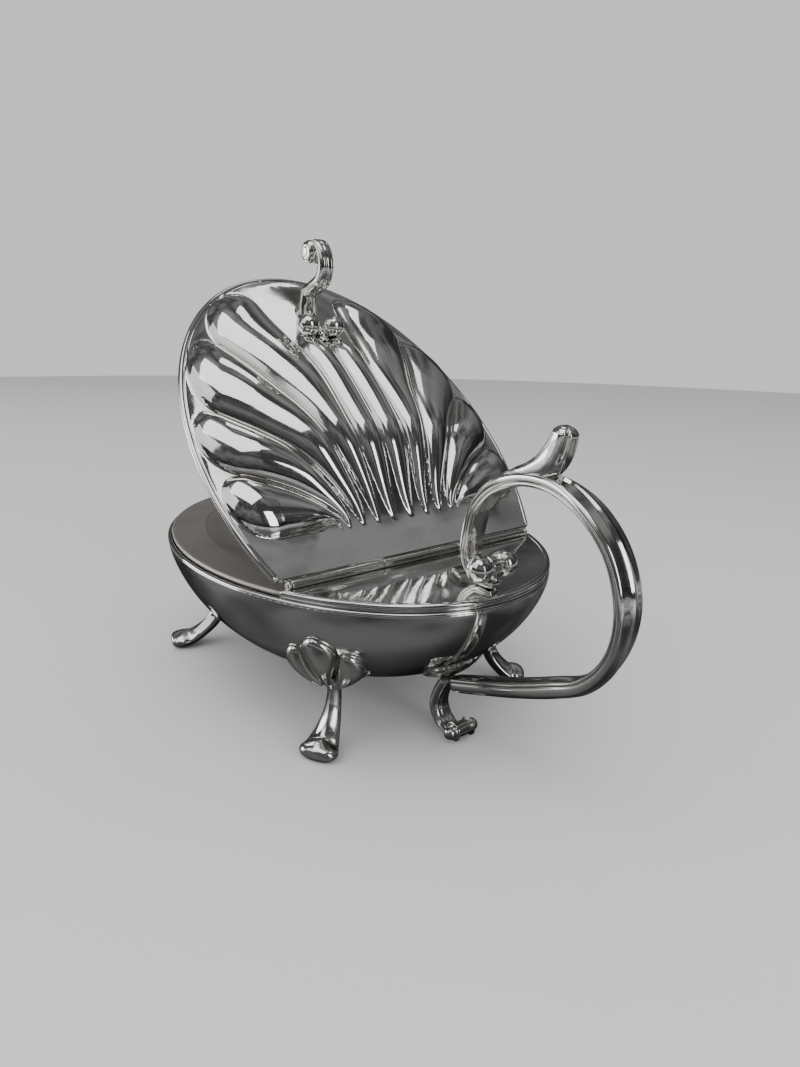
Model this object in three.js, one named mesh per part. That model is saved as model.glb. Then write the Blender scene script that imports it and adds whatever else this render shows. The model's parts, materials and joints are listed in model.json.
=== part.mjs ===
// Covered oval server on four cabriole feet: a silver bowl with a lift-out liner, a fixed rear cover,
// a hinged shell-fluted lid with a scroll thumbpiece, and a loop handle.
// Millimetres, +Z up. +X runs towards the handle and the hinge lies along Y.
import * as THREE from "three";

// The bowl, an oval with a full round belly
const bowlLength = 147;
const bowlWidth = 107.6;
const rimHeight = 46.4;
const bowlDepth = 36.2;
const bowlWall = 1.3;
const bellyRound = 3;
const bellyFall = 1.5;
const rimWireDiameter = 1.4;

// The running gap between pieces that are soldered or rest on each other
const seam = 0.3;

// The hinge across the bowl, and the lid that turns on it
const hingeOffset = 39;
const barrelDiameter = 2.5;
const barrelEndGap = 3.6;
const lidKnuckleLength = 27;
const pinDiameter = 1;
const pinHeadDiameter = 2.4;
const pinHeadLength = 1.1;
const lidOpening = 44;
const lidWall = 1.2;
const lidWireDiameter = 1.8;
const lidInset = 0.2;
const lidDome = 9;
const lidRoundness = 1.7;
const domeRise = 34;
const domeStart = 8;

// The flutes of the lid fan out from a short straight row beside the hinge
// Degrees of the fan that each flute of one side takes, from the outermost to the one in the middle:
// where it leaves the row, and near the border, where the two in the middle draw together
const fluteRootTurns = [22, 19, 18, 14, 17];
const fluteTipTurns = [26, 19, 19, 16.5, 9.5];
const gatherStart = 0.12;
const gatherLength = 0.45;
const fluteDepth = 3.8;
const innerFluteLevel = 0.85;
const fanStart = 13.4;
const fanHalfWidth = 22;
const lidBorder = 1.4;
const middleFluteEnd = 80;
const lobeRounding = 15;
const fluteRootShare = 0.42;
const fluteRootDepth = 0.96;
const fluteLowLevel = 0.45;
const fluteFullShare = 0.7;

// The lift-out liner
const linerWall = 1;
const flangeInset = 1.4;
const flangeWidth = 11;
const linerDepth = 6.5;
const flatShare = 0.7;
const brinkShare = 0.12;
const wallSteepness = 7;

// The fixed cover behind the hinge, with its double bead
const coverWall = 1.2;
const coverDrop = 0.8;
const mouldingWidth = 1.7;
const mouldingStand = 0.2;
const beadShare = 0.72;
const beadSetback = 0.35;

// The handle, a flat strap in the middle plane
const strapWidth = 5.7;
const strapThickness = 2.6;
const strapSwell = 2.4;
const strapRidge = 0.5;
const frontSwell = 1.6;
const armSwell = 1.9;
const loopInset = 13.9;
const loopWidth = 47;
const loopRise = 30.3;
const leafInset = 19;
const upperRollRadius = 3.1;
const upperRollLength = 15.6;
const upperRollInset = 5.9;
const thumbThickness = 7;
const thumbHeight = 10.6;
const thumbLean = 3.1;
const tailRollRadius = 2.7;
const tailRollLength = 11.6;
const tailWidth = 6.4;
const tailThickness = 3.3;
const tailBow = 5.6;
const tailRollReach = 4.3;
const leafLength = 22;
const leafWidth = 7;
const leafThickness = 1.7;
const leafSwell = 1.25;
const thinEdge = 0.35;
const sideSquareness = 0.7;
const faceSquareness = 0.8;

// The feet: place on the bowl, height and spread of each leg
const footLevel = 0.75;
const frontFootAngle = 44.5;
const frontFootReach = 18.6;
const frontFootSplay = 68;
const rearFootAngle = 46;
const rearFootReach = 13;
const rearFootSplay = 58;
const kneeRadius = 15;
const kneeThickness = 3.6;
const kneeLobes = 3;
const kneeSpread = 82;
const kneeSlant = 0.8;
const hipDrop = 1.5;
const neckDiameter = 3.5;
const padWidth = 11;
const padHeight = 4.8;

// The thumbpiece on the lid
const bossPlace = 82;
const bossRadius = 3.1;
const bossSpacing = 9.2;
const stemWidth = 4.4;
const stemThickness = 4.8;
const curlRadius = 3.1;
const curlLength = 6.4;
const stemRise = 19.6;
const stemBow = 3.2;
const curlReach = 8.1;
const curlDrop = 4.1;
const tongueLength = 6.5;
const finialLeafLength = 12.5;
const finialLeafWidth = 7;
const finialLeafEdge = 0.6;
const finialLeafSwell = 1.6;
const stemSetback = 10.4;

// Mesh fineness: steps round the oval, up the bowl, and round a wire
const ovalSteps = 56;
const bellySteps = 9;
const wireSides = 8;
const barrelSides = 16;
const sectionSides = 10;

const degrees = Math.PI / 180;
const semiLength = bowlLength / 2;
const semiWidth = bowlWidth / 2;
const hingeHalfLength = semiWidth * Math.sqrt(1 - (hingeOffset / semiLength) ** 2);
const barrelHalf = hingeHalfLength - barrelEndGap;
const barrelRadius = barrelDiameter / 2;
const flangeTop = rimHeight + seam + linerWall;
const lidUnderside = flangeTop + seam;
const hingeHeight = lidUnderside + lidWireDiameter - lidWall / 2;
const coverTop = hingeHeight - coverDrop;

const silver = { color: 0xd9d8d4, roughness: 0.12, metalness: 1 };
const wornSilver = { color: 0xc8c6c0, roughness: 0.2, metalness: 1 };
const satinLiner = { color: 0xb4aea6, roughness: 0.5, metalness: 1 };

const server = new THREE.Group();
const lid = new THREE.Group();
lid.position.set(hingeOffset, 0, hingeHeight);
lid.rotation.y = lidOpening * degrees;
server.add(lid);

function addPiece(parent, name, geometry, finish) {
  const mesh = new THREE.Mesh(geometry, new THREE.MeshStandardMaterial(finish));
  mesh.name = name;
  parent.add(mesh);
  return mesh;
}

// Builds a geometry from a list of corner points, three to a triangle, turned so that it faces out
function closedGeometry(corners) {
  let volume = 0;
  for (let i = 0; i < corners.length; i += 3) {
    const cross = new THREE.Vector3().crossVectors(corners[i + 1], corners[i + 2]);
    volume += corners[i].dot(cross);
  }
  const ordered = [];
  for (let i = 0; i < corners.length; i += 3) {
    const [a, b, c] = corners.slice(i, i + 3);
    ordered.push(...(volume > 0 ? [a, b, c] : [a, c, b]));
  }
  const geometry = new THREE.BufferGeometry().setFromPoints(ordered);
  geometry.computeVertexNormals();
  return geometry;
}

function pushQuad(corners, a, b, c, d) {
  corners.push(a, b, c, a, c, d);
}

// Joins closed rings of equal length into a body and closes both ends on their middles
function ringBody(rings) {
  const corners = [];
  const count = rings[0].length;
  for (let r = 0; r + 1 < rings.length; r++) {
    for (let i = 0; i < count; i++) {
      const j = (i + 1) % count;
      pushQuad(corners, rings[r][i], rings[r][j], rings[r + 1][j], rings[r + 1][i]);
    }
  }
  for (const [ring, turned] of [[rings[0], true], [rings[rings.length - 1], false]]) {
    const middle = new THREE.Vector3();
    ring.forEach((p) => middle.addScaledVector(p, 1 / count));
    for (let i = 0; i < count; i++) {
      const j = (i + 1) % count;
      corners.push(middle, turned ? ring[j] : ring[i], turned ? ring[i] : ring[j]);
    }
  }
  return closedGeometry(corners);
}

// Joins rings into a hoop whose last ring meets the first
function hoopBody(rings) {
  const corners = [];
  const count = rings[0].length;
  for (let r = 0; r < rings.length; r++) {
    const next = rings[(r + 1) % rings.length];
    for (let i = 0; i < count; i++) {
      const j = (i + 1) % count;
      pushQuad(corners, rings[r][i], rings[r][j], next[j], next[i]);
    }
  }
  return closedGeometry(corners);
}

// A sheet of metal: grids of points on its face, and a function that gives the point behind each
function sheetBody(grids, behind) {
  const face = [];
  for (const grid of grids) {
    for (let r = 0; r + 1 < grid.length; r++) {
      for (let i = 0; i + 1 < grid[r].length; i++) {
        pushQuad(face, grid[r][i], grid[r][i + 1], grid[r + 1][i + 1], grid[r + 1][i]);
      }
    }
  }
  const key = (p) => [p.x, p.y, p.z].map((v) => Math.round(v * 1e3)).join(" ");
  const kept = [];
  const edges = new Map();
  for (let i = 0; i < face.length; i += 3) {
    const corner = face.slice(i, i + 3);
    const keys = corner.map(key);
    if (new Set(keys).size < 3) continue;
    kept.push(corner);
    for (let e = 0; e < 3; e++) {
      const from = keys[e];
      const to = keys[(e + 1) % 3];
      const back = to + "|" + from;
      if (edges.has(back)) edges.delete(back);
      else edges.set(from + "|" + to, [corner[e], corner[(e + 1) % 3]]);
    }
  }
  const corners = [];
  for (const [a, b, c] of kept) {
    corners.push(a, b, c, behind(a), behind(c), behind(b));
  }
  for (const [a, b] of edges.values()) pushQuad(corners, b, a, behind(a), behind(b));
  return closedGeometry(corners);
}

// A point on the oval, drawn in from the rim by a given distance
function ovalPoint(angle, inset, z) {
  return new THREE.Vector3(
    (semiLength - inset) * Math.cos(angle),
    (semiWidth - inset) * Math.sin(angle),
    z,
  );
}

// The height of the bowl's outer face where its oval has shrunk to the given share
function bellyHeight(share) {
  const fall = (1 - Math.min(1, share) ** bellyRound) ** (1 / bellyFall);
  return rimHeight - rimWireDiameter / 2 - (bowlDepth - rimWireDiameter / 2) * fall;
}

function bowlPoint(x, y) {
  return new THREE.Vector3(x, y, bellyHeight(Math.hypot(x / semiLength, y / semiWidth)));
}

// The outward, downward normal of the bowl's outer face
function bowlNormal(x, y) {
  const step = 0.05;
  const alongX = bowlPoint(x + step, y).sub(bowlPoint(x - step, y));
  const alongY = bowlPoint(x, y + step).sub(bowlPoint(x, y - step));
  return alongY.cross(alongX).normalize();
}

// A point at a given distance off the bowl's outer face
function offBowl(x, y, distance) {
  return bowlPoint(x, y).addScaledVector(bowlNormal(x, y), distance);
}

// The angle of the oval at which it crosses the given distance from its middle
function crossingAngle(x, inset) {
  return Math.acos(x / (semiLength - inset));
}

// A round section square to a path of the oval
function wireRing(angle, inset, z, radius) {
  const middle = ovalPoint(angle, inset, z);
  const outward = new THREE.Vector3(
    Math.cos(angle) / (semiLength - inset),
    Math.sin(angle) / (semiWidth - inset),
    0,
  ).normalize();
  const ring = [];
  for (let i = 0; i < wireSides; i++) {
    const turn = (2 * Math.PI * (i + 0.5)) / wireSides;
    const out = radius * Math.cos(turn);
    const up = radius * Math.sin(turn);
    ring.push(middle.clone().addScaledVector(outward, out).add(new THREE.Vector3(0, 0, up)));
  }
  return ring;
}

function bowlBody() {
  const wireSeat = rimHeight - rimWireDiameter - seam;
  const outer = [];
  const inner = [];
  for (let r = 1; r <= bellySteps; r++) {
    const share = Math.sin((r / bellySteps) * 90 * degrees);
    const z = Math.min(wireSeat, bellyHeight(share));
    const ring = [];
    const lining = [];
    for (let i = 0; i < ovalSteps; i++) {
      const angle = (2 * Math.PI * i) / ovalSteps;
      const point = ovalPoint(angle, 0, 0).multiplyScalar(share);
      const inside = ovalPoint(angle, bowlWall, 0).multiplyScalar(share);
      const floor = rimHeight - bowlDepth + bowlWall;
      ring.push(new THREE.Vector3(point.x, point.y, z));
      lining.push(new THREE.Vector3(inside.x, inside.y, Math.min(wireSeat, Math.max(floor, z + bowlWall))));
    }
    outer.push(ring);
    inner.unshift(lining);
  }
  return ringBody([...outer, ...inner]);
}

function rimWireBody() {
  const radius = rimWireDiameter / 2;
  const rings = [];
  for (let i = 0; i < ovalSteps; i++) {
    rings.push(wireRing((2 * Math.PI * i) / ovalSteps, radius, rimHeight - radius, radius));
  }
  return hoopBody(rings);
}

// The outline of the bowl's mouth in front of the hinge: an oval arc closed by a straight chord
function mouthOutline(inset, chordX) {
  const first = crossingAngle(chordX, inset);
  const arcSteps = 30;
  const chordSteps = 6;
  const outline = [];
  for (let i = 0; i < arcSteps; i++) {
    const angle = first + ((2 * Math.PI - 2 * first) * i) / arcSteps;
    outline.push(ovalPoint(angle, inset, 0));
  }
  const corner = ovalPoint(first, inset, 0).y;
  for (let i = 0; i < chordSteps; i++) {
    outline.push(new THREE.Vector3(chordX, -corner + (2 * corner * i) / chordSteps, 0));
  }
  return outline;
}

function linerBody() {
  const chordX = hingeOffset - barrelRadius - seam;
  const top = flangeTop;
  const edge = mouthOutline(flangeInset, chordX);
  const shoulder = mouthOutline(flangeInset + flangeWidth, chordX - flangeWidth);
  const middle = new THREE.Vector3(-semiLength / 4, 0, 0);
  const profile = [
    [0, 0],
    [flatShare, 0],
  ];
  const lift = (points, z) => points.map((p) => new THREE.Vector3(p.x, p.y, z));
  const rings = [];
  for (const [share, drop] of profile) {
    rings.push(edge.map((p, i) => p.clone().lerp(shoulder[i], share).setZ(top - drop)));
  }
  rings.push(lift(shoulder, top - brinkShare * linerDepth));
  for (const share of [0.94, 0.86, 0.72, 0.5, 0.25, 0.02]) {
    const wall = (1 - brinkShare) * share ** wallSteepness;
    const fall = 1 - wall - brinkShare * (share ** 2 - share ** wallSteepness);
    rings.push(shoulder.map((p) => middle.clone().lerp(p, share).setZ(top - linerDepth * Math.min(1, fall))));
  }
  const lining = rings.map((ring) => ring.map((p) => p.clone().setZ(p.z - linerWall)));
  return ringBody([...rings.reverse(), ...lining]);
}

function coverBody() {
  const chordX = hingeOffset + barrelRadius + seam;
  const inset = mouldingWidth + seam;
  const last = crossingAngle(chordX, inset);
  const steps = 26;
  const shape = new THREE.Shape();
  for (let i = 0; i <= steps; i++) {
    const p = ovalPoint(-last + (2 * last * i) / steps, inset, 0);
    if (i) shape.lineTo(p.x, p.y);
    else shape.moveTo(p.x, p.y);
  }
  shape.closePath();
  const plate = new THREE.ExtrudeGeometry(shape, { depth: coverWall, bevelEnabled: false });
  return plate.translate(0, 0, coverTop - coverWall);
}

// A thick bead over a thin one, which stand on the rim round the back of the oval
function mouldingBody() {
  const chordX = hingeOffset + barrelRadius + seam;
  const last = crossingAngle(chordX, mouldingWidth);
  const base = rimHeight + seam;
  const height = coverTop + mouldingStand - base;
  const split = base + height * (1 - beadShare);
  const profile = [[mouldingWidth, base]];
  for (const [low, high, proud] of [[base, split, beadSetback], [split, base + height, 0]]) {
    for (const turn of [-90, -45, 0, 45, 90]) {
      const round = (high - low) / 2;
      const out = proud + round - round * Math.cos(turn * degrees);
      profile.push([Math.min(mouldingWidth - seam / 2, out), (low + high) / 2 + round * Math.sin(turn * degrees)]);
    }
  }
  profile.push([mouldingWidth, base + height]);
  const steps = 30;
  const rings = [];
  for (let s = 0; s <= steps; s++) {
    const angle = -last + (2 * last * s) / steps;
    rings.push(profile.map(([inset, z]) => ovalPoint(angle, inset, z)));
  }
  return ringBody(rings);
}

// A tube along Y between two ends, turned about the hinge line
function barrelBody(from, to, bore) {
  const profile = [
    [bore, from],
    [barrelRadius, from],
    [barrelRadius, to],
    [bore, to],
    [bore, from],
  ].map(([r, y]) => new THREE.Vector2(r, y));
  return new THREE.LatheGeometry(profile, barrelSides);
}

function pinBody() {
  const radius = pinDiameter / 2;
  const head = pinHeadDiameter / 2;
  const half = barrelHalf + seam;
  const profile = [
    [0, -half - pinHeadLength],
    [head * 0.75, -half - pinHeadLength * 0.8],
    [head, -half],
    [radius, -half],
    [radius, half],
    [head, half],
    [head * 0.75, half + pinHeadLength * 0.8],
    [0, half + pinHeadLength],
  ].map(([r, y]) => new THREE.Vector2(r, y));
  return new THREE.LatheGeometry(profile, barrelSides);
}

// Places a body turned about Y on to the hinge line, in the bowl's frame
function atHinge(geometry) {
  return geometry.translate(hingeOffset, 0, hingeHeight);
}

// Lid pieces are drawn closed, with the hinge line as their origin and the mouth towards -X
const lidShellInset = lidInset + lidWireDiameter + seam;
const lidSemiLength = semiLength - lidShellInset;
const lidSemiWidth = semiWidth - lidShellInset;
const lidRootX = -(barrelRadius + seam);

function smooth(t) {
  const clamped = Math.min(1, Math.max(0, t));
  return clamped * clamped * (3 - 2 * clamped);
}

// The dome of the lid without its flutes, over a place measured from the hinge
function domeHeight(x, y) {
  const reach = Math.hypot((x + hingeOffset) / lidSemiLength, y / lidSemiWidth);
  const crown = Math.max(0, 1 - reach ** lidRoundness);
  return lidDome * crown * smooth((-x - domeStart) / domeRise);
}

// A place on the fan: turn runs from -90 to 90 degrees across it, reach from the row to the border.
// The lines of equal turn leave the row square to it and bend outwards as hyperbolas.
function fanPlace(turn, reach) {
  return new THREE.Vector2(
    -fanStart - fanHalfWidth * reach * Math.cos(turn),
    fanHalfWidth * Math.hypot(1, reach) * Math.sin(turn),
  );
}

// How far a line of the fan runs before it meets the edge of the shell
function fanReach(turn) {
  let low = 0;
  let high = 8;
  for (let i = 0; i < 40; i++) {
    const reach = (low + high) / 2;
    const p = fanPlace(turn, reach);
    const inside = Math.hypot((p.x + hingeOffset) / lidSemiLength, p.y / lidSemiWidth) < 1;
    if (inside) low = reach;
    else high = reach;
  }
  return low;
}

// The turns of the valleys between the flutes, from one side of the fan to the other
function valleyTurns(share) {
  const gather = smooth((share - gatherStart) / gatherLength);
  const widths = fluteRootTurns.map((root, i) => THREE.MathUtils.lerp(root, fluteTipTurns[i], gather));
  const whole = widths.reduce((sum, width) => sum + width, 0);
  let passed = 0;
  const side = widths.map((width) => {
    const turn = -90 * (1 - passed / whole);
    passed += width;
    return turn;
  });
  return [...side, 0, ...side.map((turn) => -turn).reverse()];
}

// The turn at a place counted in flutes across the fan
function turnAt(place, share) {
  const valleys = valleyTurns(share);
  const flute = Math.min(valleys.length - 2, Math.floor(place));
  return THREE.MathUtils.lerp(valleys[flute], valleys[flute + 1], place - flute);
}

// The swell of one flute: round in section, round at both ends
function fluteHeight(turn, share) {
  const valleys = valleyTurns(share);
  const last = valleys.length - 2;
  const passed = valleys.findLastIndex((valley, i) => i === 0 || valley <= turn / degrees);
  const flute = Math.min(last, passed);
  const across = (2 * (turn / degrees - valleys[flute])) / (valleys[flute + 1] - valleys[flute]) - 1;
  const length = fanReach(turn) * fanHalfWidth;
  const isInner = Math.abs(flute - last / 2) < 1;
  const tip = isInner ? (middleFluteEnd - fanStart) / length : 1 - lidBorder / length;
  const outer = Math.max(0, 1 + ((share - tip) * length) / lobeRounding);
  const inner = Math.max(0, 1 - share / fluteRootShare);
  const left = 1 - across * across - outer * outer - fluteRootDepth * inner * inner;
  const level = THREE.MathUtils.lerp(fluteLowLevel, 1, Math.min(1, share / fluteFullShare));
  return fluteDepth * Math.max(0, left) * level * (isInner ? innerFluteLevel : 1);
}

// The height of the lid's outer face over any place of the fan
function lidHeight(x, y) {
  const ahead = (-x - fanStart) / fanHalfWidth;
  const aside = y / fanHalfWidth;
  const excess = ahead * ahead + aside * aside - 1;
  const reach = Math.sqrt((excess + Math.hypot(excess, 2 * ahead)) / 2);
  const turn = Math.atan2(aside / Math.hypot(1, reach), ahead / reach);
  return lidWall / 2 + domeHeight(x, y) + fluteHeight(turn, reach / fanReach(turn));
}

function lidPoint(place, share) {
  const turn = turnAt(place, share) * degrees;
  const p = fanPlace(turn, share * fanReach(turn));
  const z = lidWall / 2 + domeHeight(p.x, p.y) + fluteHeight(turn, share);
  return new THREE.Vector3(p.x, p.y, z);
}

function lidShellBody() {
  const perFlute = 6;
  const across = 2 * fluteRootTurns.length * perFlute;
  const shares = [0, 0.1, 0.25, 0.42, 0.55, 0.63, 0.7, 0.78, 0.86, 0.93, 1];
  const fan = [];
  for (let i = 0; i <= across; i++) {
    fan.push(shares.map((share) => lidPoint(i / perFlute, share)));
  }
  // The plain plate between the row of flutes and the hinge takes up the fan's points along that line
  const seamLine = [...fan[0]].reverse();
  for (let i = 1; i < fan.length; i++) seamLine.push(fan[i][0]);
  seamLine.push(...fan[fan.length - 1].slice(1));
  const edgeY = seamLine[0].y;
  const rootY = lidSemiWidth * Math.sqrt(1 - ((lidRootX + hingeOffset) / lidSemiLength) ** 2);
  const plate = [seamLine];
  for (const share of [0.5, 1]) {
    plate.push(
      seamLine.map((p) => {
        const x = THREE.MathUtils.lerp(p.x, lidRootX, share);
        const spread = THREE.MathUtils.lerp(1, rootY / Math.abs(edgeY), share);
        return new THREE.Vector3(x, p.y * spread, lidWall / 2 + domeHeight(x, p.y * spread));
      }),
    );
  }
  return sheetBody([fan, plate], (p) => p.clone().setZ(p.z - lidWall));
}

function lidWireBody() {
  const radius = lidWireDiameter / 2;
  const inset = lidInset + radius;
  const first = crossingAngle(hingeOffset + lidRootX - seam, inset);
  const steps = 44;
  const rings = [];
  for (let s = 0; s <= steps; s++) {
    const angle = first + ((2 * Math.PI - 2 * first) * s) / steps;
    rings.push(wireRing(angle, inset, lidUnderside + radius, radius));
  }
  return ringBody(rings).translate(-hingeOffset, 0, -hingeHeight);
}

// Sweeps a rounded strap along a line of places in the middle plane.
// Each place is [x, z, width, thickness]; ridge is how far the face stands up along its middle.
// Over the given share of its length it keeps above a floor that it lies on.
function strapBody(places, steps, ridge, floor = -Infinity, floorShare = 1) {
  const line = new THREE.CatmullRomCurve3(places.map(([x, z]) => new THREE.Vector3(x, 0, z)), false, "centripetal");
  const sizes = new THREE.CatmullRomCurve3(
    places.map(([, , width, thickness]) => new THREE.Vector3(width, thickness, 0)),
    false,
    "centripetal",
  );
  const rings = [];
  for (let s = 0; s <= steps; s++) {
    const t = s / steps;
    const middle = line.getPoint(t);
    const size = sizes.getPoint(t);
    const ahead = line.getTangent(t);
    const out = new THREE.Vector3(-ahead.z, 0, ahead.x);
    const ring = [];
    for (let i = 0; i < sectionSides; i++) {
      const turn = (2 * Math.PI * (i + 0.5)) / sectionSides;
      const side = Math.sign(Math.cos(turn)) * Math.abs(Math.cos(turn)) ** sideSquareness;
      const lift = Math.sign(Math.sin(turn)) * Math.abs(Math.sin(turn)) ** faceSquareness;
      const crest = ridge * Math.max(0, lift) * (1 - Math.abs(side));
      const p = middle.clone().addScaledVector(out, (lift * size.y) / 2 + crest);
      p.y = (side * size.x) / 2;
      if (t <= floorShare) p.z = Math.max(floor, p.z);
      ring.push(p);
    }
    rings.push(ring);
  }
  return ringBody(rings);
}

// A roll across the handle: a short bar with a domed cap at each end
function rollBody(radius, length, capShare) {
  const half = length / 2;
  const cap = radius * capShare;
  const profile = [
    [0, -half],
    [radius * 0.5, -half + cap * 0.14],
    [radius * 0.87, -half + cap * 0.5],
    [radius, -half + cap],
    [radius * 0.86, -half + cap + 0.35],
    [radius * 0.86, half - cap - 0.35],
    [radius, half - cap],
    [radius * 0.87, half - cap * 0.5],
    [radius * 0.5, half - cap * 0.14],
    [0, half],
  ].map(([r, y]) => new THREE.Vector2(r, y));
  return new THREE.LatheGeometry(profile, 14);
}

const strapFoot = coverTop + seam + strapThickness / 2;
const upperRoll = [semiLength - upperRollInset, strapFoot + strapThickness / 2 + seam + upperRollRadius];
const leafX = semiLength - leafInset;
const armTop = bellyHeight(leafX / semiLength) - (leafThickness + 2 * seam) * leafSwell;
const arm = [leafX, armTop - (armSwell * strapThickness) / 2];
const tailRoll = [leafX + tailRollReach, tailRollRadius + seam];
const loopFront = semiLength - loopInset;
const loopCrown = [loopFront + 0.514 * loopWidth, coverTop + loopRise];

// The loop's line: from under the upper roll up over the crown, down the back and in to the bowl.
// Places are shares of the loop's width, and of its rise above the cover or its drop to the arm.
function handleStrapBody() {
  const w = strapWidth;
  const t = strapThickness;
  const wide = strapWidth + strapSwell;
  const front = t * frontSwell;
  const foot = [
    [0.84, 0.03, w * 0.8, t * 0.8],
    [-0.19, 0, w * 0.9, t],
    [-1.5, 0.16, w, t * 1.1],
    [-2.75, 1.7, w * 1.05, t * 1.3],
  ];
  const above = [
    [0, 0.455, w * 1.1, front],
    [0.044, 0.68, w * 1.1, front],
    [0.157, 0.871, w * 1.1, front],
    [0.344, 0.993, w * 1.1, front],
    [0.551, 1, w * 1.15, front],
    [0.748, 0.881, wide, t * 1.35],
    [0.91, 0.64, wide, t * 1.25],
    [0.994, 0.333, wide, t * 1.2],
    [1, 0.053, wide * 0.95, t * 1.1],
  ];
  const heavy = t * armSwell;
  const below = [
    [0.941, 0.798, w * 1.15, t * 1.25],
    [0.818, 0.59, w * 1.1, t * 1.6],
    [0.635, 0.445, w * 1.1, heavy],
    [0.384, 0.278, w * 1.05, heavy],
    [0.149, 0.143, w, heavy],
  ];
  const drop = coverTop - arm[1];
  const places = [
    ...foot.map(([u, v, ...size]) => [upperRoll[0] + u * upperRollRadius, strapFoot + v * upperRollRadius, ...size]),
    ...above.map(([u, v, ...size]) => [loopFront + u * loopWidth, coverTop + v * loopRise, ...size]),
    ...below.map(([u, v, ...size]) => [loopFront + u * loopWidth, arm[1] + v * drop, ...size]),
    [arm[0], arm[1], w * 0.9, heavy],
  ];
  return strapBody(places, 44, strapRidge, coverTop + seam, 0.15);
}

// The spur stands on the crown of the loop and ends in a bud
function thumbRestBody() {
  const w = strapWidth;
  const t = thumbThickness;
  const base = loopCrown[1] + (strapThickness * frontSwell) / 2 + strapRidge + 1.5 * seam;
  const places = [
    [-0.45, 0, w * 0.9, t * 1.8],
    [-0.45, 0.08, w * 0.92, t * 1.5],
    [0.1, 0.24, w * 0.97, t * 1.05],
    [0.58, 0.55, w * 1.05, t * 0.9],
    [0.88, 0.83, w * 1.1, t * 0.74],
    [1, 1, w * 0.8, t * 0.4],
  ].map(([u, v, ...size]) => [loopCrown[0] + u * thumbLean, base + v * thumbHeight, ...size]);
  return strapBody(places, 10, strapRidge / 2);
}

// The scroll hangs from the leaf, bows forwards and turns back to its roll
function tailBody() {
  const t = tailThickness;
  const left = tailRoll[0] - tailRollRadius - seam;
  const places = [
    [arm[0] - t / 2 - 2 * seam, arm[1] + t / 6, tailWidth * 0.9, t * 0.9],
    [arm[0] - 0.625 * tailBow, 0.844 * arm[1], tailWidth, t],
    [arm[0] - 0.893 * tailBow, 0.647 * arm[1], tailWidth, t],
    [arm[0] - tailBow, 0.443 * arm[1], tailWidth, t * 1.1],
    [arm[0] - 0.804 * tailBow, 0.24 * arm[1], tailWidth, t],
    [left, tailRoll[1] - seam, tailWidth, t * 0.64],
  ];
  return strapBody(places, 16, seam, seam);
}

// A pointed leaf that wraps the bowl's underside across the end of the handle
function leafBody() {
  const rows = [];
  for (let i = 0; i <= 16; i++) {
    const along = -1 + i / 8;
    const half = (leafWidth / 2) * Math.sqrt(Math.max(0.01, 1 - Math.abs(along) ** 1.6));
    const row = [];
    for (let j = 0; j <= 6; j++) {
      const across = -1 + j / 3;
      row.push([leafX + across * half, (along * leafLength) / 2, along, across]);
    }
    rows.push(row);
  }
  const top = rows.map((row) =>
    row.map(([x, y, along, across]) => {
      const swell = leafThickness * (1 - 0.75 * across * across) * (1 - 0.8 * along * along);
      return offBowl(x, y, seam + Math.max(thinEdge, swell));
    }),
  );
  const under = new Map();
  top.forEach((row, i) => row.forEach((p, j) => under.set(p, offBowl(rows[i][j][0], rows[i][j][1], seam))));
  return sheetBody([top], (p) => under.get(p));
}

// Where a foot stands: its place on the oval, the way it points, and how far
function footStation(sideX, sideY) {
  const [angle, splay, reach] =
    sideX < 0
      ? [frontFootAngle, frontFootSplay, frontFootReach]
      : [rearFootAngle, rearFootSplay, rearFootReach];
  const x = sideX * semiLength * footLevel * Math.cos(angle * degrees);
  const y = sideY * semiWidth * footLevel * Math.sin(angle * degrees);
  const outward = new THREE.Vector3(sideX * Math.cos(splay * degrees), sideY * Math.sin(splay * degrees), 0);
  const along = new THREE.Vector3(-outward.y, outward.x, 0);
  return { x, y, outward, along, reach };
}

// A fan of rounded lobes that lies on the bowl above each leg
function kneeBody(sideX, sideY) {
  const { x, y, outward, along } = footStation(sideX, sideY);
  const steps = kneeLobes * 6;
  const spread = kneeSpread * degrees;
  const rows = [];
  const under = new Map();
  for (let i = 0; i <= steps; i++) {
    const turn = -spread + (2 * spread * i) / steps;
    const place = (i / steps) * kneeLobes;
    const across = 2 * (place - Math.floor(Math.min(place, kneeLobes - 1e-6))) - 1;
    const reach = kneeRadius * (0.84 + 0.16 * (1 - across * across)) * (1 - 0.12 * Math.abs(turn));
    const row = [];
    for (const share of [0.14, 0.42, 0.7, 0.9, 1]) {
      const out = share * reach * Math.cos(turn) * kneeSlant;
      const side = share * reach * Math.sin(turn);
      const px = x + outward.x * out + along.x * side;
      const py = y + outward.y * out + along.y * side;
      const dome = Math.sqrt(Math.max(0, 1 - share ** 3));
      const swell = kneeThickness * dome * (0.55 + 0.45 * (1 - across * across));
      const p = offBowl(px, py, seam + Math.max(thinEdge, swell));
      under.set(p, offBowl(px, py, seam));
      row.push(p);
    }
    rows.push(row);
  }
  return sheetBody([rows], (p) => under.get(p));
}

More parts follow.
